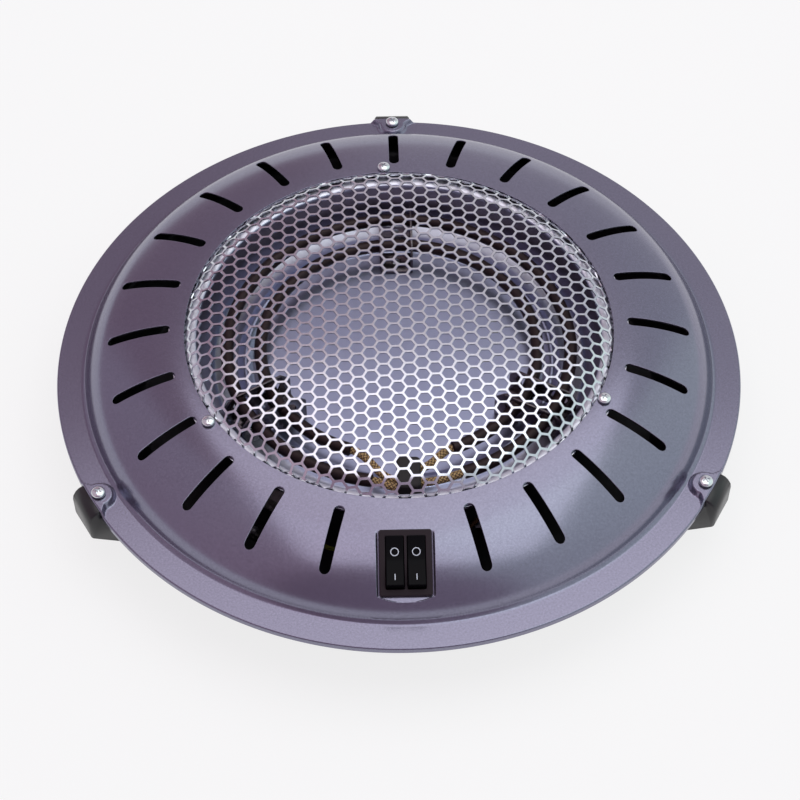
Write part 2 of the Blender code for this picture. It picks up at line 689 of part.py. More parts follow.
def make_cover():
    """Pressed cover: outer form less the space under the sheet, then everything cut through it."""
    bottom = RIM_HEIGHT - RIM_LIP
    outer = revolve(cover_outline(0, HOLE_RADIUS, RIM_RADIUS + OVERRUN, bottom - OVERRUN), COVER_STEPS)
    cover = add_mesh("top_cover", outer, "grey_paint")
    boolean(cover, bosses("join_bosses", 0), "UNION")
    blank = revolve([(0, bottom), (RIM_RADIUS, bottom), (RIM_RADIUS, RIM_HEIGHT + CROWN_ARC),
                     (0, RIM_HEIGHT + CROWN_ARC)], COVER_STEPS)
    boolean(cover, cutter("trim_rim", blank), "INTERSECT")
    pocket = prism(pocket_outline(0), 0, POCKET_HEADROOM)
    boolean(cover, cutter("cut_pocket", pocket, SWITCH_FRAME))

    hollow = revolve(cover_outline(COVER_SHEET, HOLE_RADIUS - OVERRUN, RIM_RADIUS - COVER_SHEET,
                                   bottom - OVERRUN), COVER_STEPS)
    hollow = cutter("cut_hollow", hollow)
    boolean(hollow, bosses("join_boss_hollows", COVER_SHEET), "UNION")
    boolean(hollow, lip_openings(), "UNION")
    under_pocket = prism(pocket_outline(COVER_SHEET), -COVER_SHEET, POCKET_HEADROOM)
    boolean(hollow, cutter("keep_pocket_floor", under_pocket, SWITCH_FRAME))
    boolean(cover, hollow)

    boolean(cover, slots())
    boolean(cover, cover_screw_holes())
    opening = box_outline(SWITCH_BODY_WIDTH / 2 + GAP, SWITCH_BODY_LENGTH / 2 + GAP)
    opening = prism(opening, -COVER_SHEET - OVERRUN, OVERRUN)
    boolean(cover, cutter("cut_switch_opening", opening, SWITCH_FRAME))


# Guard


def hexagon(x, y, across_flats):
    """Corners of a hexagon with corners to its left and right."""
    corner = across_flats / sqrt(3)
    return [Vector((x + corner * cos(pi * side / 3), y + corner * sin(pi * side / 3))) for side in range(6)]


def is_inside(point, corners):
    """Whether a point lies within an outline that runs counter-clockwise."""
    sides = zip(corners, corners[1:] + corners[:1])
    return all((after - corner).cross(point - corner) > 0 for corner, after in sides)


def net_cells(limit):
    """Corners of the hexagonal holes, those at the edge cut back to a limiting radius."""
    column_step = HEX_PITCH * sqrt(3) / 2
    reach = ceil(limit / column_step)
    turn = Matrix.Rotation(HEX_TURN, 2)
    cells = []
    for column in range(-reach, reach + 1):
        for row in range(-reach, reach + 1):
            middle = Vector((column * column_step, (row + (column % 2) / 2) * HEX_PITCH))
            corners = [turn @ corner for corner in hexagon(middle.x, middle.y, HEX_PITCH - HEX_WEB)]
            if middle.length < limit - HEX_WEB:
                cells.append([corner * min(1, limit / corner.length) for corner in corners])
    return cells


def net_surface(bm, net_radius):
    """Net of hexagonal holes inside a circle, laid on the dome. Returns the circle's corners."""
    points = [polar(net_radius, 2 * pi * step / GRILLE_STEPS).xy for step in range(GRILLE_STEPS)]
    outlines = [range(GRILLE_STEPS)]
    cells = net_cells(net_radius - HEX_WEB)
    for corners in cells:
        outlines.append(range(len(points), len(points) + len(corners)))
        points += corners
    edges = [(outline[side], outline[(side + 1) % len(outline)])
             for outline in outlines for side in range(len(outline))]
    flat, _, triangles, sources, _, _ = delaunay_2d_cdt(points, edges, [], 1, NET_WELD)
    verts = [bm.verts.new((spot.x, spot.y, grille_height(spot.length))) for spot in flat]
    for triangle in triangles:
        middle = sum((flat[corner] for corner in triangle), Vector((0, 0))) / 3
        if not any(is_inside(middle, corners) for corners in cells):
            bm.faces.new([verts[corner] for corner in triangle])
    place = {source: index for index, found in enumerate(sources) for source in found}
    return [verts[place[step]] for step in range(GRILLE_STEPS)]


def make_grille():
    """Domed net, its plain shoulder and edge, and the flange hidden under the cover."""
    bm = bmesh.new()
    net_radius = GRILLE_EDGE_RADIUS - NET_MARGIN
    ring = net_surface(bm, net_radius)
    shoulder = (net_radius + GRILLE_EDGE_RADIUS) / 2
    wall = [(shoulder, grille_height(shoulder)),
            (GRILLE_EDGE_RADIUS, GRILLE_EDGE_HEIGHT),
            (GRILLE_EDGE_RADIUS, GRILLE_FLANGE_TOP),
            (GRILLE_FLANGE_RADIUS, GRILLE_FLANGE_TOP)]
    for radius, height in wall:
        following = [bm.verts.new(polar(radius, 2 * pi * step / GRILLE_STEPS, height))
                     for step in range(GRILLE_STEPS)]
        for step in range(GRILLE_STEPS):
            after = (step + 1) % GRILLE_STEPS
            bm.faces.new([ring[step], following[step], following[after], ring[after]])
        ring = following
    bmesh.ops.recalc_face_normals(bm, faces=bm.faces[:])
    bm.normal_update()
    if sum(face.normal.z for face in bm.faces) < 0:
        bmesh.ops.reverse_faces(bm, faces=bm.faces[:])
    grille = add_mesh("guard_grille", bm, "bright_chrome", turned(GRILLE_TURN))
    solidify(grille, GRILLE_SHEET)
    boolean(grille, flange_screw_holes("cut_grille_screw_holes"))


def flange_screw_holes(name):
    """Holes that the guard's screws pass through in the flanges under the cover."""
    bm = bmesh.new()
    for frame in grille_screw_frames().values():
        prism(circle(GRILLE_SCREW_SHANK + GAP, SCREW_STEPS), REFLECTOR_FLANGE_TOP - OVERRUN,
              GRILLE_FLANGE_TOP + OVERRUN, bm, frame)
    return cutter(name, bm)


def make_grille_fasteners():
    """Screws of the guard, and the hexagonal nuts under the reflector's flange."""
    seat = cover_height(GRILLE_SCREW_RADIUS - GRILLE_SCREW_HEAD) + GAP
    length = seat - NUT_TOP + NUT_THICKNESS + GRILLE_SCREW_TAIL
    outline = screw_outline(GRILLE_SCREW_HEAD, GRILLE_SCREW_SHANK, length)
    add_copies("grille_screw", revolve(outline, SCREW_STEPS), "screw_steel", grille_screw_frames(seat))
    bore = (GRILLE_SCREW_SHANK + GAP) / cos(pi / NUT_SIDES)
    nut = [(bore, -NUT_THICKNESS), (NUT_CORNER_RADIUS, -NUT_THICKNESS), (NUT_CORNER_RADIUS, 0), (bore, 0)]
    nut = revolve(nut, NUT_SIDES)
    add_copies("grille_nut", nut, "zinc_steel", grille_screw_frames(NUT_TOP), smooth=False)


# Reflector and heating elements


def make_reflector():
    """Polished dish: flat floor with a pressed ring bead, curved wall and fixing flange."""
    bead = [(BEAD_RADIUS - BEAD_HALF_WIDTH, DISH_FLOOR),
            (BEAD_RADIUS, DISH_FLOOR + BEAD_RISE),
            (BEAD_RADIUS + BEAD_HALF_WIDTH, DISH_FLOOR)]
    wall_width = REFLECTOR_TOP_RADIUS - REFLECTOR_FLOOR_RADIUS
    wall_height = REFLECTOR_FLANGE_TOP - DISH_FLOOR
    wall = [(REFLECTOR_FLOOR_RADIUS + wall_width * sin(pi / 2 * step / REFLECTOR_WALL_STEPS),
             DISH_FLOOR + wall_height * (1 - cos(pi / 2 * step / REFLECTOR_WALL_STEPS)))
            for step in range(REFLECTOR_WALL_STEPS + 1)]
    profile = [(0, DISH_FLOOR)] + bead + wall + [(GRILLE_FLANGE_RADIUS, REFLECTOR_FLANGE_TOP)]
    dish = add_mesh("reflector", revolve_sheet(profile, REFLECTOR_STEPS), "polished_aluminium")
    solidify(dish, REFLECTOR_SHEET)
    boolean(dish, flange_screw_holes("cut_reflector_screw_holes"))
    floor_cuts = bmesh.new()
    low, high = DISH_UNDERSIDE - OVERRUN, DISH_FLOOR + OVERRUN
    opening = box_outline(BUSHING_WIDTH / 2 + GAP, BUSHING_DEPTH / 2 + GAP, 0, -BUSHING_RADIUS)
    prism(opening, low, high + BEAD_RISE, floor_cuts)
    for frame in rivet_frames().values():
        prism(circle(RIVET_SHANK + GAP, RIVET_STEPS), low, high, floor_cuts, frame)
    boolean(dish, cutter("cut_dish_floor", floor_cuts))


def ring_path(radius, ends):
    """Points of an open ring between two angles."""
    start, end = ends
    return [polar(radius, start + (end - start) * step / RING_STEPS, RING_HEIGHT)
            for step in range(RING_STEPS + 1)]


def make_elements():
    """The two ring elements."""
    tube("outer_element", ring_path(OUTER_RING_RADIUS, OUTER_RING_ENDS), TUBE_RADIUS, "element_sheath")
    tube("inner_element", ring_path(INNER_RING_RADIUS, INNER_RING_ENDS), TUBE_RADIUS, "element_sheath")


def rivet_radii():
    """Radii of the two rivets of an element support, on either side of the reflector's bead."""
    return {"inner": (BRACKET_INNER_RADIUS + BRACKET_BASE_INNER_END) / 2,
            "outer": (BRACKET_BASE_OUTER_START + BRACKET_OUTER_RADIUS - BRACKET_CORNER) / 2}


def rivet_frames():
    """Frames of all the rivets, X pointing outwards."""
    return {f"{side}_{row}": turned(angle, polar(radius, angle))
            for side, angle in FOOT_ANGLES.items() for row, radius in rivet_radii().items()}


def bracket_side_outline():
    """Side view of an element support in the X, Z plane, standing on height 0, arched over the bead."""
    inner, outer = BRACKET_INNER_RADIUS, BRACKET_OUTER_RADIUS
    arch = BEAD_RISE + BRACKET_SHEET
    return [(inner, -OVERRUN), (BRACKET_BASE_INNER_END, -OVERRUN), (BRACKET_BASE_INNER_END, arch),
            (BRACKET_BASE_OUTER_START, arch), (BRACKET_BASE_OUTER_START, -OVERRUN),
            (outer - BRACKET_CORNER - OVERRUN, -OVERRUN), (outer, BRACKET_CORNER),
            (outer, BRACKET_RISE - BRACKET_CORNER), (outer - BRACKET_CORNER, BRACKET_RISE),
            (inner + BRACKET_CORNER, BRACKET_RISE), (inner, BRACKET_RISE - BRACKET_CORNER)]


def make_bracket(name, angle):
    """Channel with two side walls that both rings pass through and a base on each side of the bead."""
    seat = DISH_FLOOR + GAP
    frame = turned(angle, (0, 0, seat))
    half_width = BRACKET_WIDTH / 2
    inside = half_width - BRACKET_SHEET
    top = BRACKET_RISE + OVERRUN
    channel = [(-half_width, 0), (half_width, 0), (half_width, top), (inside, top),
               (inside, BRACKET_SHEET), (-inside, BRACKET_SHEET), (-inside, top), (-half_width, top)]
    ends = (BRACKET_INNER_RADIUS - OVERRUN, BRACKET_OUTER_RADIUS + OVERRUN)
    sections = [[(x, y, z) for y, z in channel] for x in ends]
    bracket = add_mesh(name, loft(sections), "dark_steel", frame, smooth=False)
    side = side_prism(bracket_side_outline(), BRACKET_WIDTH)
    boolean(bracket, cutter("trim_" + name, side, frame), "INTERSECT")
    holes = bmesh.new()
    middle = half_width - BRACKET_SHEET / 2
    for radius in (INNER_RING_RADIUS, OUTER_RING_RADIUS):
        outline = circle(TUBE_RADIUS + BRACKET_TUBE_CLEARANCE, BRACKET_HOLE_STEPS,
                         sqrt(radius ** 2 - middle ** 2), RING_HEIGHT - seat)
        side_prism(outline, BRACKET_WIDTH, holes)
    for radius in rivet_radii().values():
        prism(circle(RIVET_SHANK + GAP, RIVET_STEPS, radius), -OVERRUN, BRACKET_SHEET + OVERRUN, holes)
    boolean(bracket, cutter("cut_holes_" + name, holes, frame))


def make_rivets():
    """Rivets through the supports' bases and the reflector's floor."""
    top = DISH_FLOOR + GAP + BRACKET_SHEET + GAP
    bottom = DISH_UNDERSIDE - GAP
    outline = [(0, top + RIVET_THICKNESS), (RIVET_HEAD, top), (RIVET_SHANK, top),
               (RIVET_SHANK, bottom), (RIVET_HEAD, bottom), (0, bottom - RIVET_THICKNESS)]
    add_copies("bracket_rivet", revolve(outline, RIVET_STEPS), "zinc_steel", rivet_frames())


def make_lead_bushing():
    """Black fitting between the element ends, with a collar on the reflector's floor."""
    middle = (0, -BUSHING_RADIUS, 0)
    half_width, half_depth = BUSHING_WIDTH / 2, BUSHING_DEPTH / 2
    top = DISH_FLOOR + BUSHING_RISE
    chamfer = BUSHING_COLLAR
    sections = []
    for inset, height in ((0, DISH_UNDERSIDE - BUSHING_DROP), (0, top - chamfer), (chamfer, top)):
        outline = box_outline(half_width - inset, half_depth - inset)
        sections.append([(x, y, height) for x, y in outline])
    bushing = add_mesh("lead_bushing", loft(sections), "black_ceramic", turned(0, middle), smooth=False)
    collar = prism(box_outline(half_width + BUSHING_COLLAR, half_depth + BUSHING_COLLAR),
                   DISH_UNDERSIDE - GAP - BUSHING_COLLAR, DISH_UNDERSIDE - GAP)
    boolean(bushing, cutter("join_bushing_collar", collar, turned(0, middle)), "UNION")


def lead_end(side, share):
    """Where a lead meets a side face of the bushing, a share of its depth from its middle."""
    return Vector((side * (BUSHING_WIDTH / 2 + GAP), -BUSHING_RADIUS - share * BUSHING_DEPTH, RING_HEIGHT))


def make_lead(name, radius, ring_angle, side, depth_share):
    """Braided sleeve from an element's end to the bushing."""
    way = Vector((side * sin(ring_angle), -side * cos(ring_angle), 0))
    start = polar(radius, ring_angle, RING_HEIGHT) + way * GAP
    end = lead_end(side, depth_share)
    bend = (start - end).length / 3
    path = bent_path(start, way, end, (side, 0, 0), LEAD_STRAIGHT, bend, LEAD_STEPS)
    tube(name, path, LEAD_RADIUS, "golden_braid", resolution=1)


def make_leads():
    """The four sleeved leads."""
    outer_share, inner_share = 0.27, -0.27
    make_lead("lead_outer_left", OUTER_RING_RADIUS, OUTER_RING_ENDS[1], -1, outer_share)
    make_lead("lead_outer_right", OUTER_RING_RADIUS, OUTER_RING_ENDS[0], 1, outer_share)
    make_lead("lead_inner_left", INNER_RING_RADIUS, INNER_RING_ENDS[1], -1, inner_share)
    make_lead("lead_inner_right", INNER_RING_RADIUS, INNER_RING_ENDS[0], 1, inner_share)


# Pan and feet


def foot_block_outline(clearance, reach):
    """Outline of the block on a foot that fills its boss, less a clearance, out to a reach."""
    half_width = FOOT_WIDTH / 2 - clearance
    at_rim = boss_outline(BOSS_TOP_NOSE - COVER_SHEET - GAP - clearance, half_width, RIM_RADIUS)
    return [(reach, -half_width), (reach, half_width)] + at_rim[1:] + at_rim[:1]


def fitting_frame(angle, radius):
    """Frame of a fitting on the pan's floor, X pointing outwards."""
    return turned(angle, polar(radius, angle, PAN_FLOOR + GAP))


def gland_frame():
    """Frame of the gland: middle of the pan's sloping wall, Z out through it."""
    slope = atan2(PAN_DEPTH, PAN_WALL_RADIUS - PAN_FLOOR_RADIUS)
    radius = (PAN_FLOOR_RADIUS + PAN_WALL_RADIUS) / 2 * cos(pi / PAN_STEPS)
    place = polar(radius, BLOCK_ANGLE, PAN_FLANGE_TOP - PAN_DEPTH / 2)
    return turned(BLOCK_ANGLE, place) @ Matrix.Rotation(pi - slope, 4, "Y")


def fixing_frames(frame, spacing, height):
    """Frames of a fitting's two screws, on the face that their heads press on."""
    return {side: frame @ Matrix.Translation((0, turn * spacing / 2, height + GAP))
            for side, turn in (("left", -1), ("right", 1))}


def clamp_screw_frames():
    """Frames of the cord clamp's screws."""
    return fixing_frames(fitting_frame(BLOCK_ANGLE, CLAMP_RADIUS), CLAMP_SCREW_SPACING, CLAMP_EAR)


def cutout_screw_frames():
    """Frames of the thermal cutout's screws."""
    return fixing_frames(fitting_frame(CUTOUT_ANGLE, CUTOUT_RADIUS), CUTOUT_SCREW_SPACING, CUTOUT_FLANGE)


def earth_frame():
    """Frame of the earth screw on the pan's floor."""
    return turned(EARTH_ANGLE, polar(EARTH_RADIUS, EARTH_ANGLE, PAN_FLOOR + GAP))


def make_pan():
    """Pressed pan with vents, notches for the feet, a gland hole and screw holes."""
    profile = [(0, PAN_FLOOR), (PAN_FLOOR_RADIUS, PAN_FLOOR), (PAN_WALL_RADIUS, PAN_FLANGE_TOP),
               (PAN_EDGE_RADIUS, PAN_FLANGE_TOP)]
    pan = add_mesh("bottom_pan", revolve_sheet(profile, PAN_STEPS), "zinc_steel")
    solidify(pan, PAN_SHEET)
    cuts = bmesh.new()
    low, high = PAN_FLOOR - PAN_SHEET - OVERRUN, PAN_FLOOR + OVERRUN
    vent = obround(PAN_VENT_INNER_RADIUS, PAN_VENT_OUTER_RADIUS, PAN_VENT_WIDTH, SLOT_END_STEPS)
    for place in range(PAN_VENTS):
        prism(vent, low, high, cuts, turned(2 * pi * place / PAN_VENTS))
    notch = foot_block_outline(-FOOT_CLEARANCE, RIM_RADIUS + OVERRUN)
    for angle in FOOT_ANGLES.values():
        prism(notch, FOOT_SHOULDER - OVERRUN, PAN_FLANGE_TOP + OVERRUN, cuts, turned(angle))
    fixings = [*clamp_screw_frames().values(), *cutout_screw_frames().values(), earth_frame()]
    for frame in fixings:
        seat = frame.translation.z
        prism(circle(PAN_SCREW_SHANK + GAP, PAN_SCREW_STEPS), low - seat, high - seat, cuts, frame)
    prism(circle(GLAND_BODY_RADIUS + GAP, GLAND_STEPS), -OVERRUN, PAN_SHEET + OVERRUN, cuts, gland_frame())
    boolean(pan, cutter("cut_pan", cuts))


def foot_outline():
    """Side view of a foot, still full height inwards: rounded outer top, sloping underside, base."""
    face_top = FOOT_TOP - FOOT_OUTER_ARC
    face_bottom = face_top - FOOT_OUTER_FACE
    base_outer = FOOT_REACH - face_bottom / tan(FOOT_SLOPE)
    outer_corner = arc((FOOT_REACH - FOOT_OUTER_ARC, face_top), FOOT_OUTER_ARC, pi / 2, 0, FOOT_ARC_STEPS)
    return ([(FOOT_INNER_RADIUS, FOOT_TOP)] + outer_corner
            + [(FOOT_REACH, face_bottom), (base_outer, 0), (FOOT_BASE_INNER_RADIUS, 0),
               (FOOT_BASE_INNER_RADIUS, FOOT_INNER_KNEE), (FOOT_INNER_RADIUS, FOOT_SHOULDER)])


def make_foot(name, angle):
    """Moulded foot: its block fills the boss, and its shoulder bears on the pan under the cover."""
    frame = turned(angle)
    foot = add_mesh(name, side_prism(foot_outline(), FOOT_WIDTH / 2), "black_plastic", frame, smooth=False)
    bevel(foot, FOOT_ROUNDING)
    rim_edge = RIM_RADIUS + GAP
    inner, side = FOOT_INNER_RADIUS - OVERRUN, FOOT_WIDTH / 2 + OVERRUN
    round_block = foot_block_outline(0, rim_edge)[1:] + foot_block_outline(0, rim_edge)[:1]
    shoulder = [(rim_edge, side), (inner, side), (inner, -side), (rim_edge, -side)]
    shoulder = prism(shoulder + round_block[::-1], FOOT_SHOULDER, FOOT_TOP + OVERRUN)
    boolean(foot, cutter("cut_shoulder_" + name, shoulder, frame))
    hole = circle(RIM_SCREW_SHANK + GAP, SCREW_STEPS, RIM_SCREW_RADIUS)
    hole = prism(hole, FOOT_TOP - RIM_SCREW_LENGTH - GAP, FOOT_TOP + OVERRUN)
    boolean(foot, cutter("cut_hole_" + name, hole, frame))


def make_rim_screws():
    """Screws through the bosses into the feet."""
    outline = screw_outline(RIM_SCREW_HEAD, RIM_SCREW_SHANK, RIM_SCREW_LENGTH)
    seat = RIM_HEIGHT + BOSS_RISE + GAP
    frames = {side: turned(angle, polar(RIM_SCREW_RADIUS, angle, seat))
              for side, angle in FOOT_ANGLES.items()}
    add_copies("rim_screw", revolve(outline, SCREW_STEPS), "screw_steel", frames)


# Switch


def make_switch_housing():
    """Bezel and body in one moulding, with two wells, pivot sockets and terminal sockets."""
    bezel = prism(box_outline(BEZEL_WIDTH / 2, BEZEL_LENGTH / 2), GAP, BEZEL_TOP)
    housing = add_mesh("switch_housing", bezel, "bezel_plastic", SWITCH_FRAME, smooth=False)
    bevel(housing, BEZEL_BEVEL)
    body_bottom = GAP - SWITCH_BODY_DEPTH
    body = box_outline(SWITCH_BODY_WIDTH / 2, SWITCH_BODY_LENGTH / 2)
    body = prism(body, body_bottom, GAP + BEZEL_THICKNESS / 2)
    boolean(housing, cutter("join_switch_body", body, SWITCH_FRAME), "UNION")
    cuts = bmesh.new()
    for side in (-1, 1):
        well = box_outline(WELL_WIDTH / 2, WELL_LENGTH / 2, side * ROCKER_OFFSET)
        prism(well, BEZEL_TOP - WELL_DEPTH, BEZEL_TOP + OVERRUN, cuts)
    boolean(housing, cutter("cut_wells", cuts, SWITCH_FRAME))
    sockets = bmesh.new()
    socket = circle(TRUNNION_RADIUS + GAP, TRUNNION_STEPS)
    reach = WELL_WIDTH / 2 + TRUNNION_REACH + ROCKER_SIDE_CLEARANCE
    for side in (-1, 1):
        frame = Matrix.Translation((side * ROCKER_OFFSET, 0, PIVOT_HEIGHT)) @ Matrix.Rotation(pi / 2, 4, "Y")
        prism(socket, -reach, reach, sockets, frame)
    boolean(housing, cutter("cut_trunnion_sockets", sockets, SWITCH_FRAME))
    blades = bmesh.new()
    for x, y in blade_places().values():
        outline = box_outline(BLADE_WIDTH / 2 + GAP, BLADE_THICKNESS / 2 + GAP, x, y)
        prism(outline, body_bottom - OVERRUN, body_bottom + BLADE_SOCKET + GAP, blades)
    boolean(housing, cutter("cut_blade_sockets", blades, SWITCH_FRAME))


def blade_places():
    """Where the terminals leave the switch's body, in the switch's frame."""
    return {f"{side}_{end}": (across * ROCKER_OFFSET, along * BLADE_OFFSET)
            for side, across in (("left", -1), ("right", 1))
            for end, along in (("low", -1), ("high", 1))}


def make_switch_blades():
    """Flat terminals of the switch."""
    bottom = GAP - SWITCH_BODY_DEPTH
    blade = prism(box_outline(BLADE_WIDTH / 2, BLADE_THICKNESS / 2), -BLADE_LENGTH, BLADE_SOCKET)
    frames = {name: SWITCH_FRAME @ Matrix.Translation((x, y, bottom))
              for name, (x, y) in blade_places().items()}
    add_copies("switch_blade", blade, "brass", frames, smooth=False)


def rocker_outline():
    """Side view of a rocker about its pivot, level: shallow V on top, round ends, keel below."""
    end_radius = WELL_LENGTH / 2 - ROCKER_END_CLEARANCE
    end_x = end_radius - ROCKER_CORNER_INSET
    end_z = ROCKER_RISE + end_x * tan(ROCKER_SWING / 2)
    front = arc((0, 0), end_radius, ROCKER_END_LOW, ROCKER_END_HIGH, ROCKER_END_STEPS)
    back = [(-x, z) for x, z in reversed(front)]
    return ([(0, ROCKER_RISE), (-end_x, end_z)] + back
            + [(-ROCKER_KEEL_HALF_WIDTH, -ROCKER_KEEL), (ROCKER_KEEL_HALF_WIDTH, -ROCKER_KEEL)]
            + front + [(end_x, end_z)])


def make_rocker(name, side):
    """Rocker with its trunnions, origin on the pivot, resting with its upper end pressed."""
    half_width = WELL_WIDTH / 2 - ROCKER_SIDE_CLEARANCE
    rest = Matrix.Rotation(-ROCKER_SWING / 2, 4, "X")
    pivot = Matrix.Translation((side * ROCKER_OFFSET, 0, PIVOT_HEIGHT))
    quarter = Matrix.Rotation(pi / 2, 4, "Z")
    frame = SWITCH_FRAME @ pivot @ rest
    rocker = add_mesh(name, side_prism(rocker_outline(), half_width, frame=quarter), "black_plastic", frame,
                      smooth=False)
    reach = half_width + ROCKER_SIDE_CLEARANCE + TRUNNION_REACH
    axle = prism(circle(TRUNNION_RADIUS, TRUNNION_STEPS), -reach, reach)
    boolean(rocker, cutter("join_trunnions_" + name, axle, frame @ Matrix.Rotation(pi / 2, 4, "Y")), "UNION")


# Fittings under the reflector


def make_terminal_block():
    """Block of screw terminals beside the gland."""
    frame = fitting_frame(BLOCK_ANGLE, BLOCK_RADIUS)
    outline = box_outline(BLOCK_WIDTH / 2, BLOCK_LENGTH / 2)
    block = add_mesh("terminal_block", prism(outline, 0, BLOCK_HEIGHT), "white_nylon", frame, smooth=False)
    wells = bmesh.new()
    bores = bmesh.new()
    for y in block_ways().values():
        prism(circle(BLOCK_WELL_RADIUS, BLOCK_BORE_STEPS, 0, y), BLOCK_HEIGHT - BLOCK_WELL_DEPTH,
              BLOCK_HEIGHT + OVERRUN, wells)
        across = Matrix.Translation((0, y, BLOCK_BORE_HEIGHT)) @ Matrix.Rotation(pi / 2, 4, "Y")
        prism(circle(BLOCK_BORE_RADIUS, BLOCK_BORE_STEPS), -BLOCK_WIDTH / 2 - OVERRUN,
              BLOCK_WIDTH / 2 + OVERRUN, bores, across)
    boolean(block, cutter("cut_block_wells", wells, frame))
    boolean(block, cutter("cut_block_bores", bores, frame))


def block_ways():
    """Positions of the terminals along the block."""
    step = BLOCK_LENGTH / len(BLOCK_WAYS)
    return {name: (way - (len(BLOCK_WAYS) - 1) / 2) * step for way, name in enumerate(BLOCK_WAYS)}


def make_cord_clamp():
    """Arched saddle that clamps the mains cord to the pan."""
    half_length = CLAMP_LENGTH / 2
    arch = arc((0, 0), CLAMP_ARCH_RADIUS, pi, 0, CLAMP_ARCH_STEPS)
    shoulder = CLAMP_SCREW_SPACING / 2 - PAN_SCREW_HEAD - GAP
    outline = ([(-half_length, 0)] + arch + [(half_length, 0), (half_length, CLAMP_EAR)]
               + [(shoulder, CLAMP_EAR), (shoulder, CLAMP_HEIGHT), (-shoulder, CLAMP_HEIGHT),
                  (-shoulder, CLAMP_EAR), (-half_length, CLAMP_EAR)])
    frame = fitting_frame(BLOCK_ANGLE, CLAMP_RADIUS)
    across = frame @ Matrix.Rotation(pi / 2, 4, "Z")
    saddle = side_prism(outline, CLAMP_WIDTH / 2)
    clamp = add_mesh("cord_clamp", saddle, "black_plastic", across, smooth=False)
    boolean(clamp, screw_bores("cut_clamp_screws", CLAMP_SCREW_SPACING, CLAMP_HEIGHT, frame))


def screw_bores(name, spacing, height, frame):
    """Two clearance bores across a fitting."""
    bm = bmesh.new()
    for side in (-1, 1):
        outline = circle(PAN_SCREW_SHANK + GAP, PAN_SCREW_STEPS, 0, side * spacing / 2)
        prism(outline, -OVERRUN, height + OVERRUN, bm)
    return cutter(name, bm, frame)


def make_cable_gland():
    """Bushing of the mains cord, through the pan's wall."""
    outer = PAN_SHEET + GAP
    outline = [(GLAND_BORE_RADIUS, -GLAND_TAIL), (GLAND_BODY_RADIUS, -GLAND_TAIL),
               (GLAND_BODY_RADIUS, outer), (GLAND_FLANGE_RADIUS, outer),
               (GLAND_FLANGE_RADIUS, outer + GLAND_FLANGE), (GLAND_BODY_RADIUS, outer + GLAND_FLANGE),
               ((GLAND_BODY_RADIUS + GLAND_BORE_RADIUS) / 2, outer + GLAND_FLANGE + GLAND_NOSE),
               (GLAND_BORE_RADIUS, outer + GLAND_FLANGE + GLAND_NOSE)]
    add_mesh("cable_gland", revolve(outline, GLAND_STEPS), "black_plastic", gland_frame())


def make_thermal_cutout():
    """Over-temperature cutout: can on a flange with two screws, tags on top."""
    frame = fitting_frame(CUTOUT_ANGLE, CUTOUT_RADIUS)
    half_length = CUTOUT_SCREW_SPACING / 2 + PAN_SCREW_HEAD
    can_top = CUTOUT_FLANGE + CUTOUT_CAN_HEIGHT
    outline = [(0, 0), (CUTOUT_CAN_RADIUS, 0), (CUTOUT_CAN_RADIUS, can_top - CUTOUT_FLANGE),
               (CUTOUT_CAN_RADIUS - CUTOUT_FLANGE, can_top), (0, can_top)]
    can = add_mesh("thermal_cutout", revolve(outline, CUTOUT_STEPS), "black_ceramic", frame)
    flange = prism(box_outline(CUTOUT_FLANGE_HALF_WIDTH, half_length), 0, CUTOUT_FLANGE)
    tags = bmesh.new()
    for side in (-1, 1):
        outline = box_outline(CUTOUT_TAG_WIDTH / 2, BLADE_THICKNESS / 2, 0, side * CUTOUT_TAG_OFFSET)
        prism(outline, can_top - EMBED, can_top + CUTOUT_TAG_HEIGHT, tags)
    boolean(can, cutter("join_cutout_flange", flange, frame), "UNION")
    boolean(can, cutter("join_cutout_tags", tags, frame), "UNION")
    boolean(can, screw_bores("cut_cutout_screws", CUTOUT_SCREW_SPACING, CUTOUT_FLANGE, frame))


def pan_screw(grip):
    """Screw that holds a thickness of material onto the pan's floor."""
    length = grip + GAP + PAN_SHEET + PAN_SCREW_TAIL
    return revolve(screw_outline(PAN_SCREW_HEAD, PAN_SCREW_SHANK, length), PAN_SCREW_STEPS)


def make_pan_screws():
    """Screws of the clamp and the cutout, and the earth screw."""
    add_copies("clamp_screw", pan_screw(CLAMP_EAR), "zinc_steel", clamp_screw_frames())
    add_copies("cutout_screw", pan_screw(CUTOUT_FLANGE), "zinc_steel", cutout_screw_frames())
    add_mesh("earth_screw", pan_screw(0), "brass", earth_frame())


def blade_tip(name):
    """Just past the free end of one of the switch's terminals."""
    x, y = blade_places()[name]
    return SWITCH_FRAME @ Vector((x, y, GAP - SWITCH_BODY_DEPTH - BLADE_LENGTH - GAP))


def bushing_exit(share):
    """Under the bushing, a share of its width from its middle."""
    return Vector((share * BUSHING_WIDTH, -BUSHING_RADIUS, DISH_UNDERSIDE - BUSHING_DROP - GAP))


def in_block(way, side):
    """Where a wire ends in one of the block's bores."""
    frame = fitting_frame(BLOCK_ANGLE, BLOCK_RADIUS)
    return frame @ Vector((side * (BLOCK_WIDTH / 2 - WIRE_SEAT), block_ways()[way], BLOCK_BORE_HEIGHT))


def cutout_tag(side):
    """Just above one of the cutout's tags."""
    frame = fitting_frame(CUTOUT_ANGLE, CUTOUT_RADIUS)
    top = CUTOUT_FLANGE + CUTOUT_CAN_HEIGHT + CUTOUT_TAG_HEIGHT + GAP
    return frame @ Vector((0, side * CUTOUT_TAG_OFFSET, top))


def beside_earth_screw():
    """Where the earth wire meets the screw's head."""
    return earth_frame() @ Vector((0, -PAN_SCREW_HEAD * cos(pi / PAN_SCREW_STEPS) - GAP, WIRE_RADIUS))


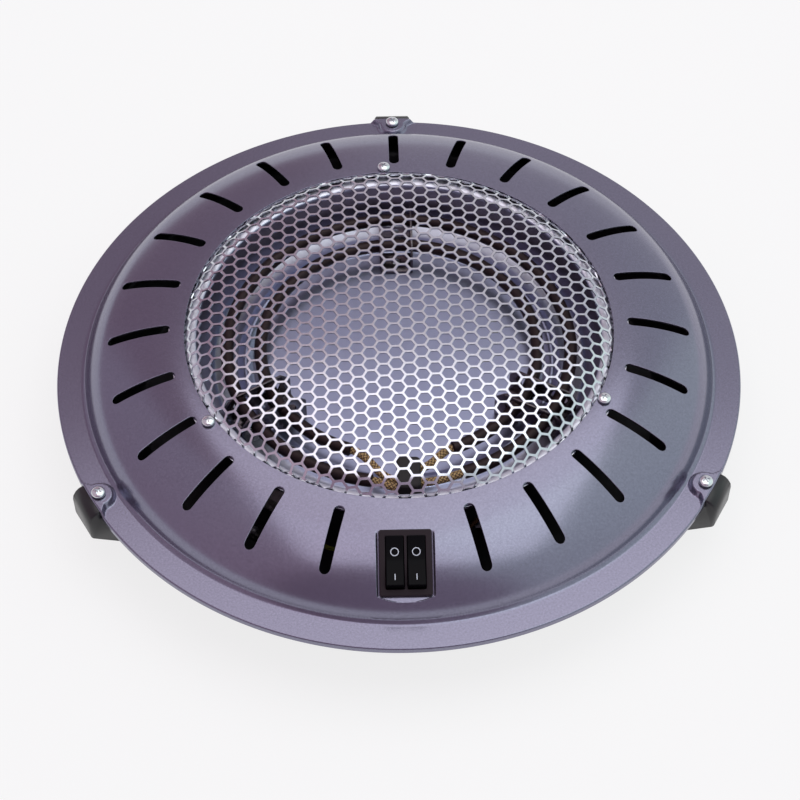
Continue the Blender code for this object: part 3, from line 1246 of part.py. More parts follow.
def make_wire(name, start, start_way, end, end_way, finish):
    """Insulated wire that leaves and arrives in given directions."""
    path = bent_path(start, start_way, end, end_way, WIRE_STRAIGHT, WIRE_BEND, WIRE_STEPS)
    tube(name, path, WIRE_RADIUS, finish, resolution=1)


def make_wires():
    """Inner wiring: mains block to cutout, cutout to switch, switch and block to the elements."""
    left_share, right_share = -0.3, 0.3
    down = Vector((0, 0, -1))
    inward = polar(-1, BLOCK_ANGLE)
    earth_way = earth_frame().to_3x3() @ Vector((0, -1, 0))
    blade_way = SWITCH_FRAME.to_3x3() @ down
    make_wire("wire_feed", in_block("feed", -1), inward, cutout_tag(-1), -down, "brown_wire")
    make_wire("wire_switch", cutout_tag(1), -down, blade_tip("right_low"), blade_way, "brown_wire")
    make_wire("wire_outer", blade_tip("left_high"), blade_way, bushing_exit(left_share), down, "brown_wire")
    make_wire("wire_inner", blade_tip("right_high"), blade_way, bushing_exit(right_share), down, "brown_wire")
    make_wire("wire_neutral", in_block("neutral", -1), inward, bushing_exit(0), down, "blue_wire")
    make_wire("wire_earth", in_block("earth", 1), -inward, beside_earth_screw(), earth_way, "earth_wire")


def main():
    """Build every piece of the brazier."""
    clear_scene()
    axis = bpy.data.objects.new("brazier_axis", None)
    axis.location = (0, AXIS_Y, 0)
    bpy.context.scene.collection.objects.link(axis)
    make_cover()
    make_grille()
    make_grille_fasteners()
    make_reflector()
    make_elements()
    for side, angle in FOOT_ANGLES.items():
        make_bracket("bracket_" + side, angle)
        make_foot("foot_" + side, angle)
    make_rivets()
    make_lead_bushing()
    make_leads()
    make_pan()
    make_rim_screws()
    make_switch_housing()
    make_switch_blades()
    make_rocker("rocker_left", -1)
    make_rocker("rocker_right", 1)
    make_terminal_block()
    make_cord_clamp()
    make_cable_gland()
    make_thermal_cutout()
    make_pan_screws()
    make_wires()


main()
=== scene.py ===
"""Dressed electric brazier: painted cover, bright guard, ring elements, twin switch and feet."""
from math import asin, atan, ceil, copysign, cos, pi, radians, sin, sqrt, tan
from typing import NamedTuple

import bmesh
import bpy
import numpy as np
from bpy.props import FloatProperty, FloatVectorProperty, PointerProperty
from mathutils import Matrix, Vector
from mathutils.geometry import delaunay_2d_cdt


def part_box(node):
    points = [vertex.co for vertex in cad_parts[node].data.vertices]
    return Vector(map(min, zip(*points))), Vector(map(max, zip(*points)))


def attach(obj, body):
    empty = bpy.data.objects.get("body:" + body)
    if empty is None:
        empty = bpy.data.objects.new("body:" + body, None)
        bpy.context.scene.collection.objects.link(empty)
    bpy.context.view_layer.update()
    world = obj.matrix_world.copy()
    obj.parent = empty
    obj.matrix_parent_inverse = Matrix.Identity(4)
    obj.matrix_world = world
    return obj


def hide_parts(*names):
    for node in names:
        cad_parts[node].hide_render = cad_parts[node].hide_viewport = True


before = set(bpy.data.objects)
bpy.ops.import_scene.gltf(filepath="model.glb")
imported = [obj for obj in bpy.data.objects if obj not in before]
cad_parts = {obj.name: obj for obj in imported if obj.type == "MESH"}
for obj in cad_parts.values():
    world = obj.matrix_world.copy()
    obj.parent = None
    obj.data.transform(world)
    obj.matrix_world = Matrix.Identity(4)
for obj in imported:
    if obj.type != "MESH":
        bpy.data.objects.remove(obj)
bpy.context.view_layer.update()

bl_info = {
    "name": "Electric brazier",
    "version": (1, 0, 0),
    "blender": (4, 5, 0),
    "location": "View3D > Sidebar > Brazier",
    "description": "Dresses the packed brazier in its paint, plating, net, marks and mouldings",
    "category": "Object",
}

COVER_LOW, COVER_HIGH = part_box("top_cover")
AXIS = Matrix.Translation((0, (COVER_LOW.y + COVER_HIGH.y) / 2, 0))
FOOT_ANGLES = {"back": radians(90), "left": radians(210), "right": radians(330)}
SLOT_PLACES = 24                # round the cover, the first of them taken by the switch
SWITCH_ANGLE = -pi / 2
RING_ENDS = {"outer": (-70, 260), "inner": (-69, 249)}      # degrees, right end and left end
FINE = 1e-4                     # step over which a surface's slope is taken
SAME_POINT = 1e-7               # points of a plan that are closer than this are one
ROUND_STEPS = 3                 # bands of faces across a rounded cut edge


def length(name, default, description):
    """A size that a user may change, in metres."""
    return FloatProperty(name=name, default=default, description=description, unit="LENGTH",
                         subtype="DISTANCE", precision=4)


def turn(name, degrees, description):
    """An angle that a user may change."""
    return FloatProperty(name=name, default=radians(degrees), description=description,
                         subtype="ANGLE")


def tint(name, default, description):
    """A colour that a user may change."""
    return FloatVectorProperty(name=name, default=default, description=description,
                               subtype="COLOR", size=3, min=0, max=1)


class CoverSizes(bpy.types.PropertyGroup):
    """Sizes of the pressed cover."""
    rim_radius: length("Rim radius", (COVER_HIGH.x - COVER_LOW.x) / 2,
                       "Outer radius of the flat rim")
    rim_lip: length("Rim lip", 0.003, "Height of the turned-down edge")
    sheet: length("Sheet", 0.001, "Thickness of the pressed sheet")
    edge: length("Cut edge", 0.0002, "Rounding of the punched edges")
    rim_edge: length("Rim edge", 0.0009, "Rounding of the turned-down edge")
    hole_radius: length("Hole radius", 0.1112, "Radius of the hole that the guard fills")
    crown_radius: length("Crown radius", 0.108, "Radius at which the crown is level")
    crown_arc: length("Crown arc", 0.092, "Curvature of the crown")
    shoulder_start: length("Shoulder start", 0.152, "Radius at which the shoulder begins")
    shoulder_arc: length("Shoulder arc", 0.028, "Curvature of the shoulder")
    shoulder_end: turn("Shoulder end", 67.5, "Slope at the foot of the shoulder")
    root_arc: length("Root arc", 0.0032, "Curvature between shoulder and rim")
    slot_inner: length("Slot start", 0.1186, "Inner end of the slots")
    slot_outer: length("Slot end", 0.152, "Outer end of the slots")
    slot_width: length("Slot width", 0.0054, "Width of the slots")
    screw_radius: length("Rim screw circle", 0.1755, "Radius of the circle of rim screws")
    boss_rise: length("Boss rise", 0.0033, "Height of the screw bosses above the rim")
    boss_top: length("Boss top", 0.0063, "Nose radius of a boss on top")
    boss_base: length("Boss base", 0.009, "Nose radius of a boss at its base")
    boss_top_flank: length("Boss top flank", 0.0115, "Half width of a boss's top at the rim")
    boss_base_flank: length("Boss base flank", 0.0155, "Half width of a boss's base at the rim")
    foot_half: length("Foot opening", 0.0106, "Half width of the lip's opening for a foot")
    pocket_start: length("Pocket start", 0.1274, "Radius at which the switch pocket begins")
    pocket_tilt: turn("Pocket tilt", 26.6, "Slope of the switch pocket")
    pocket_ledge: turn("Pocket ledge", 18, "Slope of the pocket below the bezel")
    pocket_half: length("Pocket half width", 0.0138, "Half width of the switch pocket")
    pocket_wall: length("Pocket wall", 0.0006, "Width of the pocket's steep sides")
    pocket_tail: length("Pocket tail", 0.0034, "How far the pocket runs on below the bezel")


class GuardSizes(bpy.types.PropertyGroup):
    """Sizes of the guard's perforated dome."""
    sheet: length("Sheet", 0.0007, "Thickness of the perforated sheet")
    clearance: length("Edge clearance", 0.0006, "Air between the guard and the cover's hole")
    shoulder_arc: length("Shoulder arc", 0.0225, "Curvature of the dome's shoulder")
    shoulder_end: turn("Shoulder end", 50, "Slope of the dome where it dips under the cover")
    crown_arc: length("Crown arc", 1.29, "Curvature of the dome's crown")
    flange_radius: length("Flange radius", 0.1195, "Radius of the hidden fixing flange")
    pitch: length("Cell pitch", 0.00748, "Distance between neighbouring holes")
    web: length("Web", 0.00122, "Width of the bars between holes")
    cell_turn: turn("Cell turn", 1.86, "Turn of the rows of holes")
    cell_x: length("Cell place X", -0.00326, "Middle of the hole nearest the axis")
    cell_y: length("Cell place Y", 0.00197, "Middle of the hole nearest the axis")
    corner: length("Corner", 0.0007, "Rounding of the holes' corners")
    edge: length("Edge", 0.00024, "Rounding of the holes' edges")
    screw_radius: length("Screw circle", 0.1147, "Radius of the circle of guard screws")


class InnerSizes(bpy.types.PropertyGroup):
    """Sizes of the reflector, the elements and the pan."""
    dish_sheet: length("Dish sheet", 0.0006, "Thickness of the reflector")
    dish_floor: length("Dish floor", 0.0898, "Radius of the reflector's flat floor")
    dish_apron: length("Dish apron", 0.0962, "Outer radius of the gentle slope round the floor")
    dish_slope: turn("Dish slope", 13, "Slope of the apron round the floor")
    dish_foot: length("Dish foot", 0.0025, "Curvature at the foot of the reflector's wall")
    dish_lean: turn("Dish lean", 70, "Slope of the reflector's wall")
    dish_crest: length("Dish crest", 0.0012, "Curvature at the top of the reflector's wall")
    dish_top: length("Dish top", 0.1042, "Radius at the top of the reflector's wall")
    dish_tilt: turn("Dish tilt", 10, "Slope of the reflector's bright edge")
    dish_edge: length("Dish edge", 0.1118, "Radius at which the reflector's edge turns down")
    dish_trim: length("Dish trim", 0.0025, "How far the shown flange ends inside the solid's")
    dish_fall: length("Dish fall", 0.0036, "Reflector's flange below its edge")
    bead_radius: length("Bead radius", 0.081, "Radius of the pressed ring bead")
    bead_half: length("Bead half width", 0.0048, "Half width of the ring bead")
    bead_rise: length("Bead rise", 0.0025, "Height of the ring bead")
    tube: length("Tube radius", 0.0034, "Radius of the element tubes")
    outer_ring: length("Outer ring", 0.09, "Radius of the outer element")
    inner_ring: length("Inner ring", 0.0726, "Radius of the inner element")
    inner_drop: length("Inner ring drop", 0.0016, "Inner element below the outer one")
    lead: length("Sleeve radius", 0.0021, "Radius of the braided sleeves")
    block_half: length("Block half width", 0.006, "Half width of the leads' black block")
    block_length: length("Block length", 0.019, "Length of the block towards the axis")
    block_right: length("Block right", 0.003, "How far the block lies to the right")
    block_front: length("Block front", 0.0035, "Block in front of its solid's middle")
    pan_sheet: length("Pan sheet", 0.0008, "Thickness of the bottom pan")
    pan_floor: length("Pan floor", 0.136, "Radius of the pan's floor")
    pan_wall: length("Pan wall", 0.155, "Radius at the top of the pan's wall")
    pan_bend: length("Pan bend", 0.003, "Rounding at the pan's bends")
    vent_inner: length("Vent start", 0.05, "Inner end of the pan's vents")
    vent_outer: length("Vent end", 0.076, "Outer end of the pan's vents")
    vent_width: length("Vent width", 0.006, "Width of the pan's vents")


class SwitchSizes(bpy.types.PropertyGroup):
    """Sizes of the twin rocker switch."""
    bezel_width: length("Bezel width", 0.0255, "Width of the bezel")
    bezel_length: length("Bezel length", 0.032, "Length of the bezel up the slope")
    bezel_rise: length("Bezel rise", 0.002, "Thickness of the bezel")
    bezel_corner: length("Bezel corner", 0.0012, "Corner radius of the bezel")
    margin: length("Margin", 0.0009, "Pocket floor above the bezel")
    well_width: length("Well width", 0.009, "Width of each rocker's opening")
    well_length: length("Well length", 0.0256, "Length of each rocker's opening")
    divider: length("Divider", 0.0014, "Bar between the two openings")
    pivot_depth: length("Pivot depth", 0.0025, "Pivot below the bezel's face")
    swing: turn("Swing", 20, "Whole swing of a rocker")
    rise: length("Rocker rise", 0.0029, "Middle of a rocker above its pivot")
    mark: length("Mark", 0.0041, "Height of the marks on the rockers")
    mark_line: length("Mark line", 0.00042, "Line width of the marks")


class Finishes(bpy.types.PropertyGroup):
    """Colours of the finishes."""
    paint: tint("Paint", (0.22, 0.215, 0.29), "Semi-gloss paint of the cover")
    chrome: tint("Chrome", (0.64, 0.66, 0.72), "Plating of the guard")
    dish: tint("Dish", (0.40, 0.43, 0.59), "Polished sheet of the reflector")
    # Painted shade: this colour darkens the reflector's wall to stand for the dark reflections on
    # it
    wall_shade_tint: tint("Heated dish", (0.28, 0.25, 0.34), "Wall of the reflector, darkened by heat")
    # Painted highlight: a brighter copy of the dish's colour on the slope round its floor
    dish_apron: tint("Dish apron", (0.60, 0.62, 0.72), "Bright slope round the reflector's floor")
    # Painted highlight: a brighter copy of the dish's colour on its edge
    dish_edge: tint("Dish edge", (0.78, 0.80, 0.88), "Bright edge of the reflector")
    zinc: tint("Zinc", (0.50, 0.51, 0.54), "Zinc-plated steel")
    # Near-black pan, so that the inside seen through the slots is black
    pan: tint("Pan", (0.055, 0.055, 0.060), "Dark passivated steel of the pan")
    screw: tint("Screw", (0.74, 0.78, 0.80), "Plated screws")
    sheath: tint("Sheath", (0.034, 0.020, 0.021), "Oxidised sheath of the elements")
    tinted: tint("Heat-tinted steel", (0.15, 0.13, 0.14), "Supports of the elements")
    moulding: tint("Moulding", (0.012, 0.012, 0.014), "Black mouldings")
    bezel: tint("Bezel", (0.020, 0.013, 0.017), "Bezel of the switch")
    rocker: tint("Rocker", (0.003, 0.003, 0.004), "Rockers")
    ceramic: tint("Ceramic", (0.010, 0.009, 0.010), "Black heat-proof mouldings")
    braid: tint("Braid", (0.70, 0.47, 0.20), "Glass-fibre sleeves")
    brass: tint("Brass", (0.70, 0.50, 0.21), "Brass screws and tags")
    nylon: tint("Nylon", (0.72, 0.71, 0.66), "Terminal block")
    live: tint("Brown wire", (0.16, 0.07, 0.03), "Insulation of the live wires")
    neutral: tint("Blue wire", (0.04, 0.12, 0.38), "Insulation of the neutral wire")
    earth: tint("Green wire", (0.10, 0.30, 0.04), "Insulation of the earth wire")
    mark: tint("Mark", (0.66, 0.72, 0.80), "Marks on the rockers")


SECTIONS = {"cover": CoverSizes, "guard": GuardSizes, "inner": InnerSizes, "switch": SwitchSizes,
            "finish": Finishes}


def sizes(section):
    """One of the scene's groups of sizes or colours."""
    return getattr(bpy.context.scene, "brazier_" + section)


# Surfaces

def linked(name, data, place=Matrix.Identity(4)):
    """New object of the scene at a place."""
    made = bpy.data.objects.new(name, data)
    bpy.context.scene.collection.objects.link(made)
    made.matrix_world = place
    return made


def shown_by(name, mesh, look, nodes=(), body="brazier", place=AXIS):
    """A piece of the object that rides on a body and stands for its solids."""
    mesh.name = name
    mesh.materials.append(finish(look))
    piece = linked(name, mesh, place)
    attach(piece, body)
    if nodes:
        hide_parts(*nodes)
    return piece


def arc(centre, radius, start, end, steps):
    """Points of an arc in a plane, both ends included."""
    return [(centre[0] + radius * cos(start + (end - start) * step / steps),
             centre[1] + radius * sin(start + (end - start) * step / steps))
            for step in range(steps + 1)]


def ring(radius, steps):
    """Outline of a circle."""
    return arc((0, 0), radius, 0, 2 * pi, steps)[:-1]


def rounded_box(half_x, half_y, corner, steps=5, x=0, y=0):
    """Outline of a rectangle with round corners."""
    points = []
    for quarter, (way_x, way_y) in enumerate(((1, 1), (-1, 1), (-1, -1), (1, -1))):
        middle = (x + way_x * (half_x - corner), y + way_y * (half_y - corner))
        points += arc(middle, corner, quarter * pi / 2, (quarter + 1) * pi / 2, steps)
    return points


def turned(points, angle):
    """Points of a plan turned about the axis."""
    x, y = np.asarray(points, float).T
    return np.stack([x * cos(angle) - y * sin(angle), x * sin(angle) + y * cos(angle)], 1)


def slot_outline(inner, outer, width, angle, steps=8, pieces=10):
    """Outline of a radial slot with round ends, its sides cut into short pieces."""
    half = width / 2
    points = arc((outer - half, 0), half, -pi / 2, pi / 2, steps)
    run = outer - inner - width
    points += [(outer - half - run * piece / pieces, half) for piece in range(1, pieces)]
    points += arc((inner + half, 0), half, pi / 2, 3 * pi / 2, steps)
    points += [(inner + half + run * piece / pieces, -half) for piece in range(1, pieces)]
    return turned(points, angle)


def loop_ways(points):
    """Unit normals to the left of a closed outline, at each of its points."""
    along = np.roll(points, -1, 0) - np.roll(points, 1, 0)
    along /= np.linalg.norm(along, axis=1)[:, None]
    return np.stack([-along[:, 1], along[:, 0]], 1)


def loop_edges(start, count):
    """Edges of a closed outline whose points are numbered from a start."""
    return [(start + side, start + (side + 1) % count) for side in range(count)]


def triangles(points, edges):
    """Triangulated plan: its points, its faces, and the new number of each given point."""
    spots = [Vector(point) for point in points]
    flat, _, faces, sources, _, _ = delaunay_2d_cdt(spots, edges, [], 1, SAME_POINT)
    place = {source: index for index, found in enumerate(sources) for source in found}
    return np.array([tuple(spot) for spot in flat]), faces, place


def without_holes(faces, hole):
    """Triangles but for those whose corners all lie on the outline of one hole."""
    kept = []
    for face in faces:
        holes = {hole.get(corner) for corner in face}
        if len(holes) > 1 or None in holes:
            kept.append(face)
    return kept


class Sheet:
    """Pressed sheet: a surface over a plan, its underside, and rounded cut edges between them."""

    def __init__(self, level, thickness):
        self.level, self.thickness = level, thickness
        self.points, self.edges, self.loops = [], [], []

    def outline(self, points, rounding, outer=False, foot=None):
        """Add a closed outline, counter-clockwise, where the sheet ends in a rounded edge.

        The foot gives the height at which an outer edge ends, for each point.
        """
        points = np.array(points, float)
        ways = loop_ways(points) * (-1 if outer else 1)
        self.edges += loop_edges(len(self.points), len(points))
        self.loops.append((len(self.points), len(points), ways, rounding, outer, foot))
        self.scatter(points - ways * rounding)

    def scatter(self, points):
        """Add free points of the surface."""
        self.points += [tuple(point) for point in points]

    def normals(self, x, y):
        """Normals of the level surface."""
        slope_x = (self.level(x + FINE, y) - self.level(x - FINE, y)) / (2 * FINE)
        slope_y = (self.level(x, y + FINE) - self.level(x, y - FINE)) / (2 * FINE)
        up = np.stack([-slope_x, -slope_y, np.ones_like(x)], 1)
        return up / np.linalg.norm(up, axis=1)[:, None]

    def drops(self, heights, rounding, foot):
        """Rows down a rounded edge as (reach, heights), and the tilts of the bands between them."""
        turns = [pi / 2 * step / ROUND_STEPS for step in range(ROUND_STEPS + 1)]
        rows = [(rounding * sin(tilt), heights - rounding * (1 - cos(tilt))) for tilt in turns[1:]]
        tilts = [*zip(turns, turns[1:]), (pi / 2, pi / 2), (pi, pi)]
        if foot is None:
            return [*rows, (rounding, heights - self.thickness)], tilts
        return ([*rows, (rounding, foot), (rounding - self.thickness, foot)],
                [*tilts, (-pi / 2, -pi / 2)])

    def mesh(self):
        """The sheet as a closed mesh with smooth faces and crisp corners."""
        plan, faces, place = triangles(self.points, self.edges)
        hole = {place[start + step]: start for start, count, _, _, outer, _ in self.loops
                if not outer for step in range(count)}
        x, y = plan.T
        z, up, total = self.level(x, y), self.normals(x, y), len(plan)
        verts = [*zip(x, y, z), *zip(x, y, z - self.thickness)]
        polygons, corners = [], []
        for face in without_holes(faces, hole):
            polygons += [tuple(face), tuple(corner + total for corner in reversed(face))]
            corners += [tuple(up[corner]) for corner in face]
            corners += [tuple(-up[corner]) for corner in reversed(face)]
        for start, count, ways, rounding, outer, foot in self.loops:
            ids = [place[start + step] for step in range(count)]
            drops, tilts = self.drops(z[ids], rounding, foot)
            rows = [ids]
            for reach, levels in drops:
                rows.append(range(len(verts), len(verts) + count))
                verts += [(*spot, level) for spot, level in zip(plan[ids] + ways * reach, levels)]
            rows.append([index + total for index in ids])
            for upper, lower, (high, low) in zip(rows, rows[1:], tilts):
                for step in range(count):
                    after = (step + 1) % count
                    quad = [(upper[step], step, high), (upper[after], after, high),
                            (lower[after], after, low), (lower[step], step, low)]
                    if outer:
                        quad.reverse()
                    polygons.append(tuple(corner for corner, _, _ in quad))
                    corners += [(*ways[spot] * sin(tilt), cos(tilt)) for _, spot, tilt in quad]
        mesh = bpy.data.meshes.new("sheet")
        mesh.from_pydata(verts, [], polygons)
        mesh.shade_smooth()
        mesh.normals_split_custom_set(corners)
        return mesh


def plate(level, thickness):
    """Flat sheet whose upper surface lies at one height."""
    return Sheet(lambda x, y: np.full_like(x, level), thickness)


def finished(bm, sharp=radians(35)):
    """Mesh of a bmesh whose faces look outward, smooth but for its sharp edges."""
    bmesh.ops.recalc_face_normals(bm, faces=bm.faces[:])
    mesh = bpy.data.meshes.new("solid")
    bm.to_mesh(mesh)
    bm.free()
    mesh.shade_smooth()
    mesh.set_sharp_from_angle(angle=sharp)
    return mesh


def bands(bm, rows):
    """Faces between closed rows of points, each row with the next."""
    faces = []
    for row, following in zip(rows, rows[1:]):
        for step in range(len(row)):
            after = (step + 1) % len(row)
            corners = dict.fromkeys([row[step], row[after], following[after], following[step]])
            if len(corners) > 2:
                faces.append(bm.faces.new(list(corners)))
    return faces


def turned_mesh(profile, steps):
    """Mesh turned about Z from (radius, height) points; a point with radius 0 is a pole."""
    bm = bmesh.new()
    bands(bm, [[bm.verts.new((x, y, height)) for x, y in ring(radius, steps)] if radius
               else [bm.verts.new((0, 0, height))] * steps for radius, height in profile])
    return finished(bm)


END_FACE, END_RISE = 0.72, 0.2      # flat part and rise of a tube's end, as shares of its radius


def swept(path, radius, sides):
    """Tube along a path with domed ends. Its UV map runs round and along it at one scale."""
    bm = bmesh.new()
    uv = bm.loops.layers.uv.new("sleeve")
    ways = [(path[min(step + 1, len(path) - 1)] - path[max(step - 1, 0)]).normalized()
            for step in range(len(path))]
    side = ways[0].orthogonal().normalized()
    rings, runs, run = [], [], 0
    for step, (point, way) in enumerate(zip(path, ways)):
        side = (side - way * side.dot(way)).normalized()
        other = way.cross(side)
        run += (point - path[step - 1]).length if step else 0
        runs.append(run / (2 * pi * radius))
        rings.append([bm.verts.new(point + (side * x + other * y) * radius)
                      for x, y in ring(1, sides)])
    for index, face in enumerate(bands(bm, rings)):
        row, step = divmod(index, sides)
        for loop, (across, along) in zip(face.loops, ((0, 0), (1, 0), (1, 1), (0, 1))):
            loop[uv].uv = ((step + across) / sides, runs[row + along])
    for point, row, way in ((path[0], rings[0], -ways[0]), (path[-1], rings[-1], ways[-1])):
        inner = [bm.verts.new(point + (vert.co - point) * END_FACE + way * radius * END_RISE)
                 for vert in row]
        bands(bm, [row, inner])
        bm.faces.new(inner)
    return finished(bm)


def prism(outline, low, high, upright=False, bm=None):
    """Add a solid on an outline between two heights, or upright between two places on Y."""
    bm = bmesh.new() if bm is None else bm
    rings = [[bm.verts.new((x, level, y) if upright else (x, y, level)) for x, y in outline]
             for level in (low, high)]
    for ends in rings:
        bm.faces.new(ends)
    bands(bm, rings)
    return bm


def round_edges(piece, width, segments=3, angle=radians(40)):
    """Round a piece's sharp edges."""
    step = piece.modifiers.new("rounding", "BEVEL")
    step.width, step.segments = width, segments
    step.limit_method, step.angle_limit = "ANGLE", angle
    step.harden_normals = True


def thicken(piece, thickness):
    """Give a piece's faces a thickness behind them."""
    wall = piece.modifiers.new("sheet", "SOLIDIFY")
    wall.thickness, wall.offset = thickness, -1


# Materials

class Nodes:
    """Short way to add and join the nodes of one tree."""

    def __init__(self, tree):
        self.tree = tree

    def put(self, socket, value):
        """Join a socket to another, or give it a plain value."""
        if isinstance(value, bpy.types.NodeSocket):
            self.tree.links.new(value, socket)
        else:
            socket.default_value = value

    def add(self, kind, inputs=None, **settings):
        """Add a node with its settings, and join or set its inputs."""
        node = self.tree.nodes.new("ShaderNode" + kind)
        for key, value in settings.items():
            setattr(node, key, value)
        for key, value in (inputs or {}).items():
            self.put(node.inputs[key], value)
        return node

    def math(self, operation, *values):
        return self.add("Math", dict(enumerate(values)), operation=operation).outputs[0]

    def noise(self, vector, scale, detail, roughness=0.5):
        inputs = {"Vector": vector, "Scale": scale, "Detail": detail, "Roughness": roughness}
        return self.add("TexNoise", inputs).outputs["Fac"]

    def mix(self, factor, first, second):
        return self.add("Mix", {0: factor, 6: first, 7: second}, data_type="RGBA").outputs[2]

    def ramp(self, factor, low, high, to_low=0, to_high=1):
        return self.add("MapRange", {"Value": factor, "From Min": low, "From Max": high,
                                     "To Min": to_low, "To Max": to_high}).outputs[0]

    def between(self, value, start, full, fall, end):
        """Mask that rises from start to full, and falls again from fall to end."""
        return self.math("MULTIPLY", self.ramp(value, start, full),
                         self.ramp(value, fall, end, 1, 0))

    def spot(self, kind="Object"):
        return self.add("TexCoord").outputs[kind]

    def round_axis(self):
        """Distance from the object's axis, and height along it."""
        spot = self.add("SeparateXYZ", {"Vector": self.spot()}).outputs
        squares = [self.math("MULTIPLY", spot[way], spot[way]) for way in (0, 1)]
        return self.math("SQRT", self.math("ADD", *squares)), spot[2]

    def bump(self, height, distance, strength):
        inputs = {"Height": height, "Distance": distance, "Strength": strength}
        return self.add("Bump", inputs).outputs[0]

    def group(self, name, inputs=None):
        """Outputs of one of the shared groups, which is built when it is first used."""
        tree = bpy.data.node_groups.get(name) or new_group(name, *GROUPS[name])
        return self.add("Group", inputs, node_tree=tree).outputs


def new_group(name, fill, inputs, outputs):
    """Shader node group with named sockets, filled by a function of its nodes and its inputs."""
    group = bpy.data.node_groups.new(name, "ShaderNodeTree")
    for label, default in inputs.items():
        kind = "NodeSocketColor" if isinstance(default, tuple) else "NodeSocketFloat"
        socket = group.interface.new_socket(label, in_out="INPUT", socket_type=kind)
        socket.default_value = default
    for label, kind in outputs.items():
        group.interface.new_socket(label, in_out="OUTPUT", socket_type="NodeSocket" + kind)
    given = group.nodes.new("NodeGroupInput").outputs
    out = group.nodes.new("NodeGroupOutput").inputs
    for label, socket in fill(Nodes(group), given).items():
        group.links.new(socket, out[label])
    return group


def mottle(n, given):
    """Slow drift of colour and roughness over a fine grain, as in paint, plating and plastic."""
    spot = n.spot()
    drift = n.noise(spot, given["Drift Scale"], 3)
    grain = n.noise(spot, given["Grain Scale"], 2, 0.6)
    swing, fleck, rough = [
        n.math("MULTIPLY", n.math("SUBTRACT", noise, 0.5), given[label])
        for noise, label in ((drift, "Drift"), (grain, "Speckle"), (drift, "Roughness Drift"))]
    value = n.math("ADD", n.math("ADD", swing, fleck), 1)
    colour = n.add("HueSaturation", {"Color": given["Colour"], "Value": value}).outputs[0]
    return {"Colour": colour, "Roughness": n.math("ADD", given["Roughness"], rough), "Grain": grain}


def spun(n, given):
    """Fine rings round the axis, as on sheet that was spun or turned."""
    radius, height = n.round_axis()
    flat = n.add("CombineXYZ", {"X": radius, "Z": height}).outputs[0]
    return {"Rings": n.noise(flat, given["Scale"], 3, 0.6)}


def braid(n, given):
    """Two sets of strands that cross: the height of the strand that lies on top."""
    spot = n.add("SeparateXYZ", {"Vector": n.spot("UV")}).outputs
    around, along = [n.math("MULTIPLY", spot[way], given["Strands"]) for way in (0, 1)]
    lays = [n.math(way, around, along) for way in ("ADD", "SUBTRACT")]
    right, left = [n.math("PINGPONG", lay, 0.5) for lay in lays]
    squares = n.math("ADD", *[n.math("FLOOR", lay) for lay in lays])
    over = n.math("GREATER_THAN", n.math("MODULO", squares, 2), 0.5)
    height = n.math("ADD", n.math("MULTIPLY", over, right),
                    n.math("MULTIPLY", n.math("SUBTRACT", 1, over), left))
    return {"Strand": n.math("MULTIPLY", height, 2)}


# Shared groups: what fills each, its inputs with their defaults, and its outputs
GROUPS = {
    "mottle": (mottle, {"Colour": (0.5, 0.5, 0.5, 1), "Drift Scale": 30, "Drift": 0.1,
                        "Roughness": 0.4, "Roughness Drift": 0.05, "Grain Scale": 2000,
                        "Speckle": 0},
               {"Colour": "Color", "Roughness": "Float", "Grain": "Float"}),
    "spun": (spun, {"Scale": 900}, {"Rings": "Float"}),
    "braid": (braid, {"Strands": 8}, {"Strand": "Float"}),
}


class Look(NamedTuple):
    """What makes up one finish, and the record's material slot that it belongs to."""
    slot: str
    colour: str
    metallic: float
    roughness: float
    drift: float = 0.08             # of the colour's brightness
    drift_scale: float = 25
    rough_drift: float = 0.06
    grain: float = 0
    grain_scale: float = 2500
    speckle: float = 0
    spun: float = 0                 # strength of the rings, which take the grain's place
    specular: float = 0.5


FINISHES = {
    "semi_gloss_paint": Look("cover_paint", "paint", 0.82, 0.20, 0.06, 14, 0.04, 0.06, 950, 0.5),
    "bright_plating": Look("guard_chrome", "chrome", 1, 0.16, 0.05, 60, 0.08, 0.04, 3000),
    "polished_dish": Look("reflector_aluminium", "dish", 1, 0.34, 0.08, 18, 0.10, spun=0.04),
    "oxidised_sheath": Look("element_sheath", "sheath", 0.65, 0.42, 0.5, 70, 0.2, 0.25, 1500),
    "golden_sleeve": Look("golden_braid", "braid", 0, 0.62, 0.3, 180),
    "black_ceramic": Look("black_ceramic", "ceramic", 0, 0.45, 0.3, 80, 0.06, 0.2, 1500),
    # Near-black pan, so that the inside seen through the slots is black
    "dark_pan_steel": Look("zinc_steel", "pan", 0.9, 0.48, 0.3, 60, 0.15, 0.1, 1800),
    "zinc_plating": Look("zinc_steel", "zinc", 1, 0.36, 0.25, 60, 0.18, 0.1, 1800),
    "plated_screw": Look("screw_steel", "screw", 1, 0.18, 0.12, 300, 0.08),
    "black_moulding": Look("black_plastic", "moulding", 0, 0.34, 0.3, 40, 0.12, 0.3, 1600),
    "heat_tinted_steel": Look("dark_steel", "tinted", 0.95, 0.24, 0.5, 90, 0.12),
    "bezel_moulding": Look("bezel_plastic", "bezel", 0, 0.4, 0.2, 90, 0.1, 0.2, 1800, specular=0.2),
    "rocker_moulding": Look("rocker_plastic", "rocker", 0, 0.3, 0.2, 120, 0.08, specular=0.06),
    "mark_white": Look("rocker_plastic", "mark", 0, 0.5, 0.05),
    "plain_brass": Look("brass", "brass", 1, 0.28, 0.15, 150, 0.1),
    "white_nylon": Look("white_nylon", "nylon", 0, 0.45, 0.05, 25, 0.06, 0.1, 1200),
    "brown_wire": Look("brown_wire", "live", 0, 0.4, 0.1, 200),
    "blue_wire": Look("blue_wire", "neutral", 0, 0.4, 0.1, 200),
    "earth_wire": Look("earth_wire", "earth", 0, 0.4, 0.1, 200),
}


